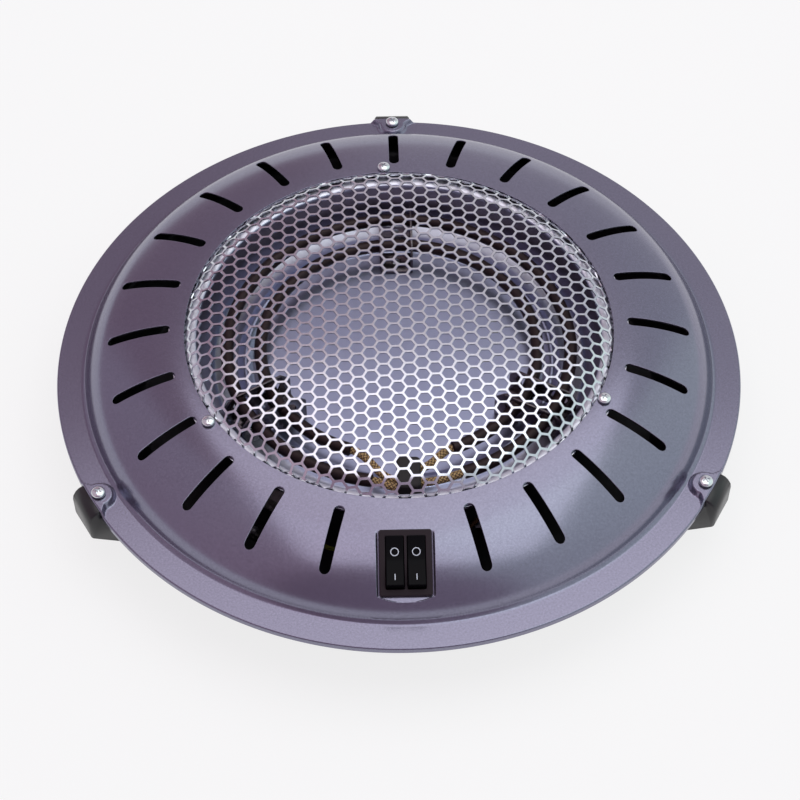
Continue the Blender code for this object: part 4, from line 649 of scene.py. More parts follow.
APRON_HIGHLIGHT_FADES = (0.002, 0.0015)           # over which the painted highlight on the apron fades, inward and outward
WALL_SHADE_STARTS = (0.003, 0.007)            # fade of the painted wall shade, above the dish's foot
WALL_SHADE_ENDS = (0.0032, 0.0016)            # its other fade, below the dish's top
EDGE_HIGHLIGHT_STARTS = (0.0018, 0.0012)          # fade of the painted highlight on the edge, below the dish's top
BRAID_CREASE_SHADE = (0.05, 0.02, 0.012, 1)      # painted shade in the creases between the strands


def painted_dish_shade_and_highlights(n, shader):
    """Paint shade on the reflector's wall, standing for its dark reflections, between painted
    highlights on its apron and on its edge.
    """
    f, s = sizes("finish"), sizes("inner")
    low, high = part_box("reflector")
    radius, height = n.round_axis()
    # Painted highlight: a brighter band on the apron round the floor
    apron_highlight = n.between(radius, s.dish_floor - APRON_HIGHLIGHT_FADES[0], s.dish_floor,
                      s.dish_apron, s.dish_apron + APRON_HIGHLIGHT_FADES[1])
    # Painted shade: the wall between the apron and the edge is darkened
    shaded_band = n.between(height, *[low.z + rise for rise in WALL_SHADE_STARTS],
                    *[high.z - drop for drop in WALL_SHADE_ENDS])
    # Painted highlight: the top of the wall and the edge are made brighter
    edge_highlight = n.ramp(height, *[high.z - drop for drop in EDGE_HIGHLIGHT_STARTS])
    base = shader["Base Color"].links[0].from_socket
    for mask, colour in ((apron_highlight, f.dish_apron), (shaded_band, f.wall_shade_tint), (edge_highlight, f.dish_edge)):
        base = n.mix(mask, base, (*colour, 1))
    n.put(shader["Base Color"], base)


def crossed_strands(n, shader):
    """Give the sleeves their braid, with painted shade in the creases between the strands."""
    strand = n.group("braid", {"Strands": 6})["Strand"]
    base = shader["Base Color"].links[0].from_socket
    # Painted shade: where the strands dip, their colour goes dark
    n.put(shader["Base Color"], n.mix(n.ramp(strand, 0.25, 0.7, 1, 0), base, BRAID_CREASE_SHADE))
    n.put(shader["Normal"], n.bump(strand, 0.0003, 0.8))


# The reflector's finish gets painted shade on its wall and painted highlights on its apron and edge
OWN_DETAIL = {"polished_dish": painted_dish_shade_and_highlights, "golden_sleeve": crossed_strands}


def new_material(name):
    """Material with its nodes, the inputs of its shader, and its tree."""
    made = bpy.data.materials.new(name)
    made.use_nodes = True
    return made, made.node_tree.nodes["Principled BSDF"].inputs, Nodes(made.node_tree)


def finish(name):
    """Principled material of one finish: drifting colour and roughness over a fine grain."""
    if name in bpy.data.materials:
        return bpy.data.materials[name]
    look = FINISHES[name]
    made, shader, n = new_material(name)
    made.diffuse_color = (*getattr(sizes("finish"), look.colour), 1)
    life = n.group("mottle", {"Colour": made.diffuse_color, "Drift Scale": look.drift_scale,
                              "Drift": look.drift, "Roughness": look.roughness,
                              "Roughness Drift": look.rough_drift, "Grain Scale": look.grain_scale,
                              "Speckle": look.speckle})
    for label, value in (("Base Color", life["Colour"]), ("Roughness", life["Roughness"]),
                         ("Metallic", look.metallic), ("Specular IOR Level", look.specular)):
        n.put(shader[label], value)
    if look.spun:
        n.put(shader["Normal"], n.bump(n.group("spun")["Rings"], 0.0001, look.spun))
    elif look.grain:
        n.put(shader["Normal"], n.bump(life["Grain"], 0.0001, look.grain))
    if name in OWN_DETAIL:
        OWN_DETAIL[name](n, shader)
    return made


def floor_finish():
    """White floor: white to the camera and in reflections, with a faint shadow of the object."""
    made, shader, n = new_material("white_floor")
    shader["Base Color"].default_value = (0.86, 0.86, 0.88, 1)
    shader["Roughness"].default_value = 0.9
    tree = made.node_tree
    path = n.add("LightPath").outputs
    seen = n.math("MAXIMUM", path["Is Camera Ray"],
                  n.math("MAXIMUM", path["Is Glossy Ray"], path["Is Transmission Ray"]))
    white = n.add("Emission", {"Color": (1, 1, 1, 1), "Strength": 1.0}).outputs[0]
    plain = tree.nodes["Principled BSDF"].outputs[0]
    mixed = n.add("MixShader", {0: n.math("MULTIPLY", seen, 0.8), 1: plain, 2: white}).outputs[0]
    n.put(tree.nodes["Material Output"].inputs["Surface"], mixed)
    return made


# Levels of the object

BOSS_EASE, POCKET_EASE = 0.0006, 0.0003     # over which bosses and pocket leave the cover's form
BOSS_SPREAD = 1.3           # how a boss widens from its screw to the rim's edge
TAIL_BOW = 0.8              # share of the pocket's tail by which its corners fall back
UNDER_COVER = 0.0003        # air between the cover and the guard's flange
FLANGE_BEND = 0.0008        # outer bend between the guard's dome and its flange


def rim_level():
    """Height of the flat rim."""
    return COVER_LOW.z + sizes("cover").rim_lip


def arcs_of_cover():
    """The crown's end angle, and the centres of the cover's arcs as (radius, height over rim)."""
    s = sizes("cover")
    crown_end = asin((s.shoulder_start - s.crown_radius) / s.crown_arc)
    step = s.crown_arc - s.shoulder_arc
    shoulder_r = s.crown_radius + step * sin(crown_end)
    root_r = shoulder_r + (s.shoulder_arc + s.root_arc) * sin(s.shoulder_end)
    shoulder_z = s.root_arc - (s.shoulder_arc + s.root_arc) * cos(s.shoulder_end)
    crown_z = shoulder_z - step * cos(crown_end)
    return crown_end, (s.crown_radius, crown_z), (shoulder_r, shoulder_z), (root_r, s.root_arc)


def arc_height(away, curvature):
    """Height of an arc over its centre, at places away from it."""
    return np.sqrt(np.maximum(curvature ** 2 - away ** 2, 0))


def plain_cover_level(radius):
    """Height of the turned form of the cover at radii."""
    s = sizes("cover")
    crown_end, crown, shoulder, root = arcs_of_cover()
    radius = np.asarray(radius, float)
    on_crown = crown[1] + arc_height(radius - crown[0], s.crown_arc)
    on_shoulder = shoulder[1] + arc_height(radius - shoulder[0], s.shoulder_arc)
    on_root = root[1] - arc_height(root[0] - radius, s.root_arc)
    shoulder_limit = shoulder[0] + s.shoulder_arc * sin(s.shoulder_end)
    level = np.where(radius <= shoulder_limit, on_shoulder, on_root)
    level = np.where(radius <= crown[0] + s.crown_arc * sin(crown_end), on_crown, level)
    return rim_level() + np.where(radius >= root[0], 0, level)


def smooth_step(share):
    """Share from 0 to 1 eased at both ends."""
    share = np.clip(share, 0, 1)
    return share * share * (3 - 2 * share)


def eased(excess, ease):
    """What is above zero, with a rounded start."""
    excess = np.maximum(excess, 0)
    return np.where(excess < ease, excess ** 2 / (2 * ease), excess - ease / 2)


def boss_level(x, y):
    """Height that the bosses reach above the rim, 0 away from them."""
    s = sizes("cover")
    run = s.rim_radius - s.screw_radius
    best = np.zeros_like(x)
    for angle in FOOT_ANGLES.values():
        out = x * cos(angle) + y * sin(angle) - s.screw_radius
        across = np.abs(y * cos(angle) - x * sin(angle))
        spread = np.maximum(out / run, 0) ** BOSS_SPREAD
        away = np.where(out < 0, np.hypot(out, across), across)
        base = s.boss_base + (s.boss_base_flank - s.boss_base) * spread
        top = s.boss_top + (s.boss_top_flank - s.boss_top) * spread
        share = np.where(out > -s.boss_base, (base - away) / (base - top), 0)
        best = np.maximum(best, smooth_step(share))
    return best * s.boss_rise


def switch_frame():
    """Frame of the switch: middle of the bezel on the pocket's floor, X across, Y up the slope."""
    s, w = sizes("cover"), sizes("switch")
    along = w.margin + w.bezel_length / 2
    place = (0, -(s.pocket_start + along * cos(s.pocket_tilt)),
             float(plain_cover_level(s.pocket_start)) - along * sin(s.pocket_tilt))
    return Matrix.Translation(place) @ Matrix.Rotation(s.pocket_tilt, 4, "X")


def cover_level(x, y):
    """Height of the cover's surface with its bosses and the switch pocket."""
    s, w = sizes("cover"), sizes("switch")
    x, y = np.asarray(x, float), np.asarray(y, float)
    plain = plain_cover_level(np.hypot(x, y))
    level = plain + eased(boss_level(x, y) - (plain - rim_level()), BOSS_EASE)
    below = y + s.pocket_start
    ledge = np.minimum(below + (w.bezel_length + w.margin) * cos(s.pocket_tilt), 0)
    floor = (float(plain_cover_level(s.pocket_start)) + (below - ledge) * tan(s.pocket_tilt)
             + ledge * tan(s.pocket_ledge))
    tail = (w.bezel_length + w.margin + s.pocket_tail) * cos(s.pocket_tilt)
    bow = s.pocket_tail * TAIL_BOW * (x / s.pocket_half) ** 2
    inside = smooth_step((s.pocket_half + s.pocket_wall / 2 - np.abs(x)) / s.pocket_wall)
    inside = inside * smooth_step((below + tail - bow + s.pocket_wall / 2) / s.pocket_wall)
    return level - eased(plain - floor, POCKET_EASE) * np.where(y < 0, inside, 0)


def guard_profile():
    """Runs, radii and heights of the guard's outer surface, from its middle to its flange."""
    s, c = sizes("guard"), sizes("cover")
    edge = c.hole_radius - s.clearance
    edge_z = float(plain_cover_level(c.hole_radius))
    flange_z = float(plain_cover_level(s.flange_radius)) - c.sheet - UNDER_COVER
    shoulder = (edge - s.shoulder_arc * sin(s.shoulder_end),
                edge_z - s.shoulder_arc * cos(s.shoulder_end))
    crown_end = asin(shoulder[0] / (s.crown_arc - s.shoulder_arc))
    crown_z = shoulder[1] - (s.crown_arc - s.shoulder_arc) * cos(crown_end)
    points = [(x + curvature * sin(angle), z + curvature * cos(angle))
              for (x, z), curvature, angles in (
                  ((0, crown_z), s.crown_arc, np.linspace(0, crown_end, 41)[:-1]),
                  (shoulder, s.shoulder_arc, np.linspace(crown_end, s.shoulder_end, 25)))
              for angle in angles]
    points += [(edge, edge_z - FLANGE_BEND)]
    points += arc((edge + FLANGE_BEND, flange_z + FLANGE_BEND), FLANGE_BEND, pi, 3 * pi / 2, 5)
    table = np.array([*points, (s.flange_radius, flange_z)])
    runs = np.concatenate([[0], np.cumsum(np.hypot(*np.diff(table, axis=0).T))])
    return runs, table[:, 0], table[:, 1]


def bend(start, curvature, slope, end_slope):
    """Points that turn a profile to another slope, downward if the curvature is negative."""
    return [(start[0] + curvature * (sin(turned_to) - sin(slope)),
             start[1] + curvature * (cos(slope) - cos(turned_to)))
            for turned_to in np.linspace(slope, end_slope, 8)]


def dish_profile():
    """Dense (radius, height) table of the reflector's upper surface beyond its floor."""
    s = sizes("inner")
    low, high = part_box("reflector")
    floor, top, sheet = low.z + s.dish_sheet, high.z, s.dish_sheet
    apron = floor + (s.dish_apron - s.dish_floor) * tan(s.dish_slope)
    points = [(s.dish_floor, floor), ((s.dish_floor + s.dish_apron) / 2, (floor + apron) / 2)]
    points += bend((s.dish_apron, apron), s.dish_foot, s.dish_slope, s.dish_lean)
    knee = top - (s.dish_edge - s.dish_top) * tan(s.dish_tilt)
    rise = knee - s.dish_crest * (cos(s.dish_tilt) - cos(s.dish_lean)) - points[-1][1]
    start = (points[-1][0] + rise / tan(s.dish_lean), points[-1][1] + rise)
    points += bend(start, -s.dish_crest, s.dish_lean, s.dish_tilt)
    points += [(s.dish_edge, top), (s.dish_edge + sheet, top - sheet),
               (s.dish_edge + 2 * sheet, top - s.dish_fall),
               (high.x - s.dish_trim, top - s.dish_fall)]
    return np.array(points)


def dish_level(x, y):
    """Height of the reflector's upper surface."""
    s = sizes("inner")
    table = dish_profile()
    radius = np.hypot(x, y)
    across_bead = np.clip((radius - s.bead_radius) / s.bead_half, -1, 1)
    bead = s.bead_rise * (1 + np.cos(pi * across_bead)) / 2
    return np.interp(radius, table[:, 0], table[:, 1]) + bead


def pan_level(x, y):
    """Height of the pan's upper surface."""
    s = sizes("inner")
    low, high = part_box("bottom_pan")
    floor, top = low.z + s.pan_sheet, high.z
    slope = (top - floor) / (s.pan_wall - s.pan_floor)
    rising = floor + eased(np.hypot(x, y) - s.pan_floor, s.pan_bend) * slope
    return top - eased(top - rising, s.pan_bend)


# Pieces

SLOT_MARGIN = 0.0008                    # free points stay this far from a slot
ROWS, SHOULDER_ROWS, BEND_ROWS = 0.0028, 0.0009, 0.0004     # between circles of points in the cover
BEND_START, BEND_END = 0.1602, 0.1687   # radii of the bend from the shoulder to the rim
GRID, FINE_GRID = 0.0006, 0.0003        # between points on the bosses and in the pocket
BOSS_START, BOSS_HALF = 0.1625, 0.018   # extent of the grid on a boss
POCKET_GRID = (0.0162, -0.1662, -0.1239)    # half width of the pocket's grid, and its ends along Y
GRID_MARGIN = 0.0004                    # circles of points stop this far from a grid
BEZEL_LAP = 0.0015                      # how far the bezel laps over its opening
OPENING_CORNER = 0.001
CELL_MARGIN = 0.62                      # pitches between the flange's edge and the last holes
LIMIT_SIDES = 240                       # round the plan of the guard, the dish and the pan
BLOCK_CORNER = 0.0025                   # corners of the black block and of its hole
BEZEL_GAP = 0.0003                      # between the pocket's floor and the bezel
BEZEL_EDGE = 0.0006                     # rounding of the bezel
CASE_DEPTH, CASE_WALL = 0.018, 0.0009   # switch body below the bezel
MARK_THICK = 0.00006
TOP_CURVE = 1.25                        # how a rocker's ends rise from its middle


class PieceOperator(bpy.types.Operator):
    """Base of the operators that make pieces."""
    bl_options = {"REGISTER", "UNDO"}


def polar_points(radii, steps):
    """Points on circles, each circle turned half a step from the last."""
    spots = []
    for row, radius in enumerate(radii):
        angles = np.arange(steps) * 2 * pi / steps + pi / steps * (row % 2)
        spots.append(np.stack([np.cos(angles), np.sin(angles)], 1) * radius)
    return np.concatenate(spots)


def grid(first, second):
    """Points of a grid on two rows of places."""
    return np.stack([places.ravel() for places in np.meshgrid(first, second)], 1)


def in_box(spots, low, high, margin):
    """Which points lie in a box or within a margin of it."""
    return np.all((spots > np.array(low) - margin) & (spots < np.array(high) + margin), 1)


def near_slot(spots, inner, outer, width, places, first, skip=None):
    """Which points lie in or close to the radial slots of a ring."""
    hit = np.zeros(len(spots), bool)
    for place in range(places):
        if place != skip:
            unturned = turned(spots, -first - 2 * pi * place / places)
            hit |= in_box(unturned, (inner, -width / 2), (outer, width / 2), SLOT_MARGIN)
    return hit


class BRAZIER_OT_cover(PieceOperator):
    """Make the pressed and painted cover with its slots, bosses and switch pocket."""
    bl_idname = "brazier.cover"
    bl_label = "Cover"

    def rim(self):
        """Outline of the rim, and the heights at which its lip ends, higher over the feet."""
        s = sizes("cover")
        half, step = asin(s.foot_half / s.rim_radius), radians(0.02)
        ends = [angle + side * half + way * step for angle in FOOT_ANGLES.values()
                for side in (-1, 1) for way in (-1, 1)]
        angles = np.unique(np.concatenate([np.linspace(0, 2 * pi, 361)[:-1], ends]))
        at_foot = np.any([np.abs((angles - angle + pi) % (2 * pi) - pi) < half
                          for angle in FOOT_ANGLES.values()], 0)
        points = np.stack([np.cos(angles), np.sin(angles)], 1) * s.rim_radius
        over_foot = cover_level(*points.T * 0.999) - s.sheet - s.rim_edge / 3
        return points, np.where(at_foot, over_foot, COVER_LOW.z)

    def opening(self):
        """Outline of the switch's opening in the pocket."""
        w, seat = sizes("switch"), switch_frame()
        outline = rounded_box(w.bezel_width / 2 - BEZEL_LAP, w.bezel_length / 2 - BEZEL_LAP,
                              OPENING_CORNER, 3)
        return [tuple(seat @ Vector((x, y, 0)))[:2] for x, y in outline]

    def free_points(self, opening):
        """Points of the surface: circles, with finer grids on the bosses and in the pocket."""
        s, w = sizes("cover"), sizes("switch")
        radii = np.concatenate([np.arange(s.hole_radius + 0.0025, s.shoulder_start, ROWS),
                                np.arange(s.shoulder_start, BEND_START - BEND_ROWS, SHOULDER_ROWS),
                                np.arange(BEND_END + 2 * BEND_ROWS, s.rim_radius - 0.002, ROWS)])
        spots = np.concatenate([polar_points(radii, 360),
                                polar_points(np.arange(BEND_START, BEND_END, BEND_ROWS), 720)])
        spots = spots[~near_slot(spots, s.slot_inner, s.slot_outer, s.slot_width, SLOT_PLACES,
                                 SWITCH_ANGLE, 0)]
        fine = []
        boss = grid(np.arange(BOSS_START, s.rim_radius - 0.0014, GRID),
                    np.arange(-BOSS_HALF, BOSS_HALF + FINE, GRID))
        for angle in FOOT_ANGLES.values():
            spots = spots[~in_box(turned(spots, -angle), (BOSS_START, -BOSS_HALF), (1, BOSS_HALF),
                                  GRID_MARGIN)]
            patch = turned(boss, angle)
            fine.append(patch[np.hypot(*patch.T) < s.rim_radius - s.rim_edge - 0.0005])
        half, front, back = POCKET_GRID
        tail = -s.pocket_start - w.bezel_length * cos(s.pocket_tilt)
        spots = spots[~in_box(spots, (-half, front), (half, back), GRID_MARGIN)]
        patch = np.concatenate([
            grid(np.arange(-half, half + FINE / 10, step), np.arange(start, end, step))
            for step, start, end in ((FINE_GRID, front, tail), (GRID, tail, back))])
        fine.append(patch[~in_box(patch, np.min(opening, 0), np.max(opening, 0), GRID)])
        return np.concatenate([spots, *fine])

    def execute(self, context):
        s = sizes("cover")
        sheet = Sheet(cover_level, s.sheet)
        rim, foot = self.rim()
        sheet.outline(rim, s.rim_edge, outer=True, foot=foot)
        sheet.outline(ring(s.hole_radius, 360), s.edge)
        for place in range(1, SLOT_PLACES):
            angle = SWITCH_ANGLE + 2 * pi * place / SLOT_PLACES
            sheet.outline(slot_outline(s.slot_inner, s.slot_outer, s.slot_width, angle), s.edge)
        opening = self.opening()
        sheet.outline(opening, s.edge)
        sheet.scatter(self.free_points(opening))
        shown_by("cover_shell", sheet.mesh(), "semi_gloss_paint", ["top_cover"])
        return {"FINISHED"}


def hexagon(pitch, web, corner):
    """Outline of one hole with rounded corners, corners to the left and right, about its middle."""
    reach = (pitch - web) / sqrt(3) - corner * 2 / sqrt(3)
    one = [(reach + corner * cos(angle), corner * sin(angle)) for angle in (-pi / 6, 0, pi / 6)]
    return np.concatenate([turned(one, pi / 3 * side) for side in range(6)])


class BRAZIER_OT_guard(PieceOperator):
    """Make the guard: a net of hexagonal holes in a dome that runs on under the cover."""
    bl_idname = "brazier.guard"
    bl_label = "Guard"

    def execute(self, context):
        s = sizes("guard")
        runs, radii, heights = guard_profile()
        limit = runs[-1]
        column = s.pitch * sqrt(3) / 2
        reach = ceil(limit / column) + 1
        span = range(-reach, reach + 1)
        middles = turned([(across * column, (up + (across % 2) / 2) * s.pitch)
                          for across in span for up in span], s.cell_turn) + (s.cell_x, s.cell_y)
        hole = turned(hexagon(s.pitch, s.web, s.corner), s.cell_turn)
        points, edges = ring(limit, LIMIT_SIDES), loop_edges(0, LIMIT_SIDES)
        for middle in middles[np.hypot(*middles.T) <= limit - s.pitch * CELL_MARGIN]:
            edges += loop_edges(len(points), len(hole))
            points += [tuple(point) for point in hole + middle]
        plan, faces, place = triangles(points, edges)
        owner = {index: (source - LIMIT_SIDES) // len(hole) for source, index in place.items()
                 if source >= LIMIT_SIDES}
        run = np.hypot(*plan.T)
        way = plan / np.maximum(run, 1e-9)[:, None]
        radius, height = np.interp(run, runs, radii), np.interp(run, runs, heights)
        verts = np.column_stack([way * radius[:, None], height])
        mesh = bpy.data.meshes.new("net")
        mesh.from_pydata(list(map(tuple, verts)), [], list(map(tuple, without_holes(faces, owner))))
        mesh.shade_smooth()
        net = shown_by("guard_net", mesh, "bright_plating", ["guard_grille"])
        thicken(net, s.sheet)
        round_edges(net, s.edge, 1, radians(60))
        return {"FINISHED"}


def block_middle():
    """Middle of the black block between the elements' ends, in plan."""
    s = sizes("inner")
    low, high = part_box("lead_bushing")
    return s.block_right, (low.y + high.y) / 2 - AXIS.translation.y - s.block_front


def block_outline(margin=0):
    """Outline of the black block, or of its hole in the reflector."""
    s = sizes("inner")
    x, y = block_middle()
    return rounded_box(s.block_half + margin, s.block_length / 2 + margin, BLOCK_CORNER, x=x, y=y)


class BRAZIER_OT_reflector(PieceOperator):
    """Make the polished dish under the elements."""
    bl_idname = "brazier.reflector"
    bl_label = "Reflector"

    def execute(self, context):
        s = sizes("inner")
        sheet = Sheet(dish_level, s.dish_sheet)
        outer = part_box("reflector")[1].x - s.dish_trim
        sheet.outline(ring(outer, LIMIT_SIDES), s.dish_sheet / 3, outer=True)
        hole = block_outline(s.dish_sheet)
        sheet.outline(hole, s.dish_sheet / 4)
        bead_start, bead_end = s.bead_radius - s.bead_half, s.bead_radius + s.bead_half
        radii = np.concatenate([np.arange(0.004, bead_start - 0.001, 0.006),
                                np.arange(bead_start, bead_end + FINE / 10, 0.0008),
                                [s.dish_floor - 0.001], dish_profile()[:-1, 0],
                                [outer - 2 * s.dish_sheet]])
        spots = np.concatenate([[(0, 0)]] + [
            polar_points([radius], LIMIT_SIDES if radius > 0.06 else 72) for radius in radii])
        sheet.scatter(spots[~in_box(spots, np.min(hole, 0), np.max(hole, 0), GRID)])
        shown_by("reflector_dish", sheet.mesh(), "polished_dish", ["reflector"])
        return {"FINISHED"}


def ring_place(name):
    """Radius and height of an element's ring."""
    s = sizes("inner")
    low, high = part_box("outer_element")
    height = (low.z + high.z) / 2
    return (s.outer_ring, height) if name == "outer" else (s.inner_ring, height - s.inner_drop)


def on_ring(radius, angle, height):
    """Point at a radius and an angle about the axis."""
    return Vector((radius * cos(angle), radius * sin(angle), height))


class BRAZIER_OT_elements(PieceOperator):
    """Make the two sheathed ring elements."""
    bl_idname = "brazier.elements"
    bl_label = "Elements"

    def execute(self, context):
        steps = 180
        for name, (start, end) in RING_ENDS.items():
            radius, height = ring_place(name)
            path = [on_ring(radius, radians(start + (end - start) * step / steps), height)
                    for step in range(steps + 1)]
            tube = swept(path, sizes("inner").tube, 20)
            shown_by(name + "_ring", tube, "oxidised_sheath", [name + "_element"])
        return {"FINISHED"}


def bent_path(start, start_way, end, end_way, straight, steps):
    """Smooth path between two points, which leaves and arrives straight."""
    reach = (start - end).length / 3
    first, last = start + start_way * straight, end + end_way * straight
    path = [start]
    for step in range(steps + 1):
        share = step / steps
        rest = 1 - share
        path.append(rest ** 3 * first + 3 * rest ** 2 * share * (first + start_way * reach)
                    + 3 * rest * share ** 2 * (last + end_way * reach) + share ** 3 * last)
    return path + [end]


# Where the sleeves enter the block: shares of its length, from its middle to the back
SLEEVE_ENTRIES = {"outer_left": -0.34, "outer_right": -0.2,
                  "inner_left": -0.05, "inner_right": 0.34}
SLEEVE_INSET = 0.002                    # how far a sleeve reaches into the block


class BRAZIER_OT_leads(PieceOperator):
    """Make the golden sleeves at the elements' ends and the black block that takes them down."""
    bl_idname = "brazier.leads"
    bl_label = "Sleeved leads"

    def execute(self, context):
        s = sizes("inner")
        low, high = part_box("lead_bushing")
        middle_x, middle_y = block_middle()
        for name, share in SLEEVE_ENTRIES.items():
            element, hand = name.split("_")
            side = -1 if hand == "left" else 1
            radius, height = ring_place(element)
            angle = radians(RING_ENDS[element][hand == "left"])
            start = on_ring(radius, angle, height)
            end = Vector((middle_x + side * (s.block_half - SLEEVE_INSET),
                          middle_y + share * s.block_length, height))
            path = bent_path(start, Vector((side * sin(angle), -side * cos(angle), 0)), end,
                             Vector((side, 0, 0)), 0.001, 30)
            shown_by("sleeve_" + name, swept(path, s.lead, 16), "golden_sleeve", ["lead_" + name])
        block = finished(prism(block_outline(), low.z, high.z))
        round_edges(shown_by("lead_block", block, "black_ceramic", ["lead_bushing"]), 0.0018, 4)
        return {"FINISHED"}


class BRAZIER_OT_pan(PieceOperator):
    """Make the bottom pan with its vents."""
    bl_idname = "brazier.pan"
    bl_label = "Bottom pan"

    def execute(self, context):
        s = sizes("inner")
        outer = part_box("bottom_pan")[1].x
        sheet = Sheet(pan_level, s.pan_sheet)
        sheet.outline(ring(outer, LIMIT_SIDES), s.pan_sheet / 3, outer=True)
        vents = 6
        for place in range(vents):
            angle = 2 * pi * place / vents
            sheet.outline(slot_outline(s.vent_inner, s.vent_outer, s.vent_width, angle),
                          s.pan_sheet / 4)
        radii = np.concatenate([np.arange(0.006, s.pan_floor - 0.004, 0.01),
                                np.linspace(s.pan_floor - 0.001, s.pan_floor + 0.004, 6),
                                np.linspace(s.pan_wall - 0.005, s.pan_wall + 0.003, 8),
                                [s.pan_wall + 0.01, outer - 0.004]])
        spots = polar_points(radii, 180)
        sheet.scatter(spots[~near_slot(spots, s.vent_inner, s.vent_outer, s.vent_width, vents, 0)])
        shown_by("pan_shell", sheet.mesh(), "dark_pan_steel", ["bottom_pan"])
        return {"FINISHED"}


def screw_mesh(head, shank, below, recess):
    """Pan-head screw standing on height 0, with a cross recess in its head."""
    crown = head * 0.62
    dome = [(head * sin(radians(bend)), crown * (0.35 + 0.65 * cos(radians(bend))))
            for bend in range(15, 91, 15)]
    profile = [(0, crown), *dome, (head, 0), (shank, 0), (shank, -below), (0, -below)]
    body = linked("screw", turned_mesh(profile, 32))
    half, blade = head * 0.52, head * 0.11
    cross = bmesh.new()
    for half_x, half_y in ((half, blade), (blade, half)):
        outline = [(-half_x, -half_y), (half_x, -half_y), (half_x, half_y), (-half_x, half_y)]
        prism(outline, crown - recess, crown * 2, bm=cross)
    cutter = linked("recess", finished(cross))
    cut = body.modifiers.new("recess", "BOOLEAN")
    cut.object = cutter
    cut.use_self = True
    found = body.evaluated_get(bpy.context.evaluated_depsgraph_get())
    mesh = bpy.data.meshes.new_from_object(found)
    for helper in (body, cutter):
        bpy.data.objects.remove(helper)
    mesh.shade_smooth()
    mesh.set_sharp_from_angle(angle=radians(30))
    return mesh


class BRAZIER_OT_screws(PieceOperator):
    """Make the screws of the rim and of the guard, with cross recesses."""
    bl_idname = "brazier.screws"
    bl_label = "Screws"

    def execute(self, context):
        for group, recess_turn in (("rim_screw", 0.5), ("grille_screw", 1.1)):
            mesh = None
            for place, side in enumerate(FOOT_ANGLES):
                node = f"{group}_{side}"
                low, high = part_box(node)
                head = (high.x - low.x) / 2
                rise = head * 0.7
                mesh = mesh.copy() if mesh else screw_mesh(head, head / 2.2, high.z - low.z - rise,
                                                           head * 0.35)
                middle = (low + high) / 2
                seat = Matrix.Translation((middle.x, middle.y, high.z - rise))
                shown_by(f"{node}_pan_head", mesh, "plated_screw", [node],
                         place=seat @ Matrix.Rotation(recess_turn + place * 0.7, 4, "Z"))
        return {"FINISHED"}


def softened(names, look, width=0, segments=2):
    """Give solids that keep their own shape a finish and, where there is a width, soft edges."""
    for name in names:
        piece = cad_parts[name]
        piece.data.materials.clear()
        piece.data.materials.append(finish(look))
        piece.data.shade_smooth()
        piece.data.set_sharp_from_angle(angle=radians(35))
        if width:
            piece.modifiers.new("weld", "WELD").merge_threshold = 1e-6
            plain = piece.modifiers.new("plain faces", "DECIMATE")
            plain.decimate_type, plain.angle_limit = "DISSOLVE", radians(1)
            round_edges(piece, width, segments, radians(50))


class BRAZIER_OT_feet(PieceOperator):
    """Finish the black moulded feet, the cord's gland and its clamp."""
    bl_idname = "brazier.feet"
    bl_label = "Feet"

    def execute(self, context):
        softened(["foot_" + side for side in FOOT_ANGLES], "black_moulding", 0.0004)
        softened(["cable_gland", "cord_clamp"], "black_moulding", 0.0003)
        return {"FINISHED"}


class BRAZIER_OT_supports(PieceOperator):
    """Finish the supports of the elements, their rivets and the cutout."""
    bl_idname = "brazier.supports"
    bl_label = "Supports"

    def execute(self, context):
        softened(["bracket_" + side for side in FOOT_ANGLES], "heat_tinted_steel", 0.0002)
        softened([f"bracket_rivet_{side}_{row}" for side in FOOT_ANGLES
                  for row in ("inner", "outer")], "zinc_plating")
        softened(["thermal_cutout"], "black_ceramic", 0.0006, 3)
        return {"FINISHED"}


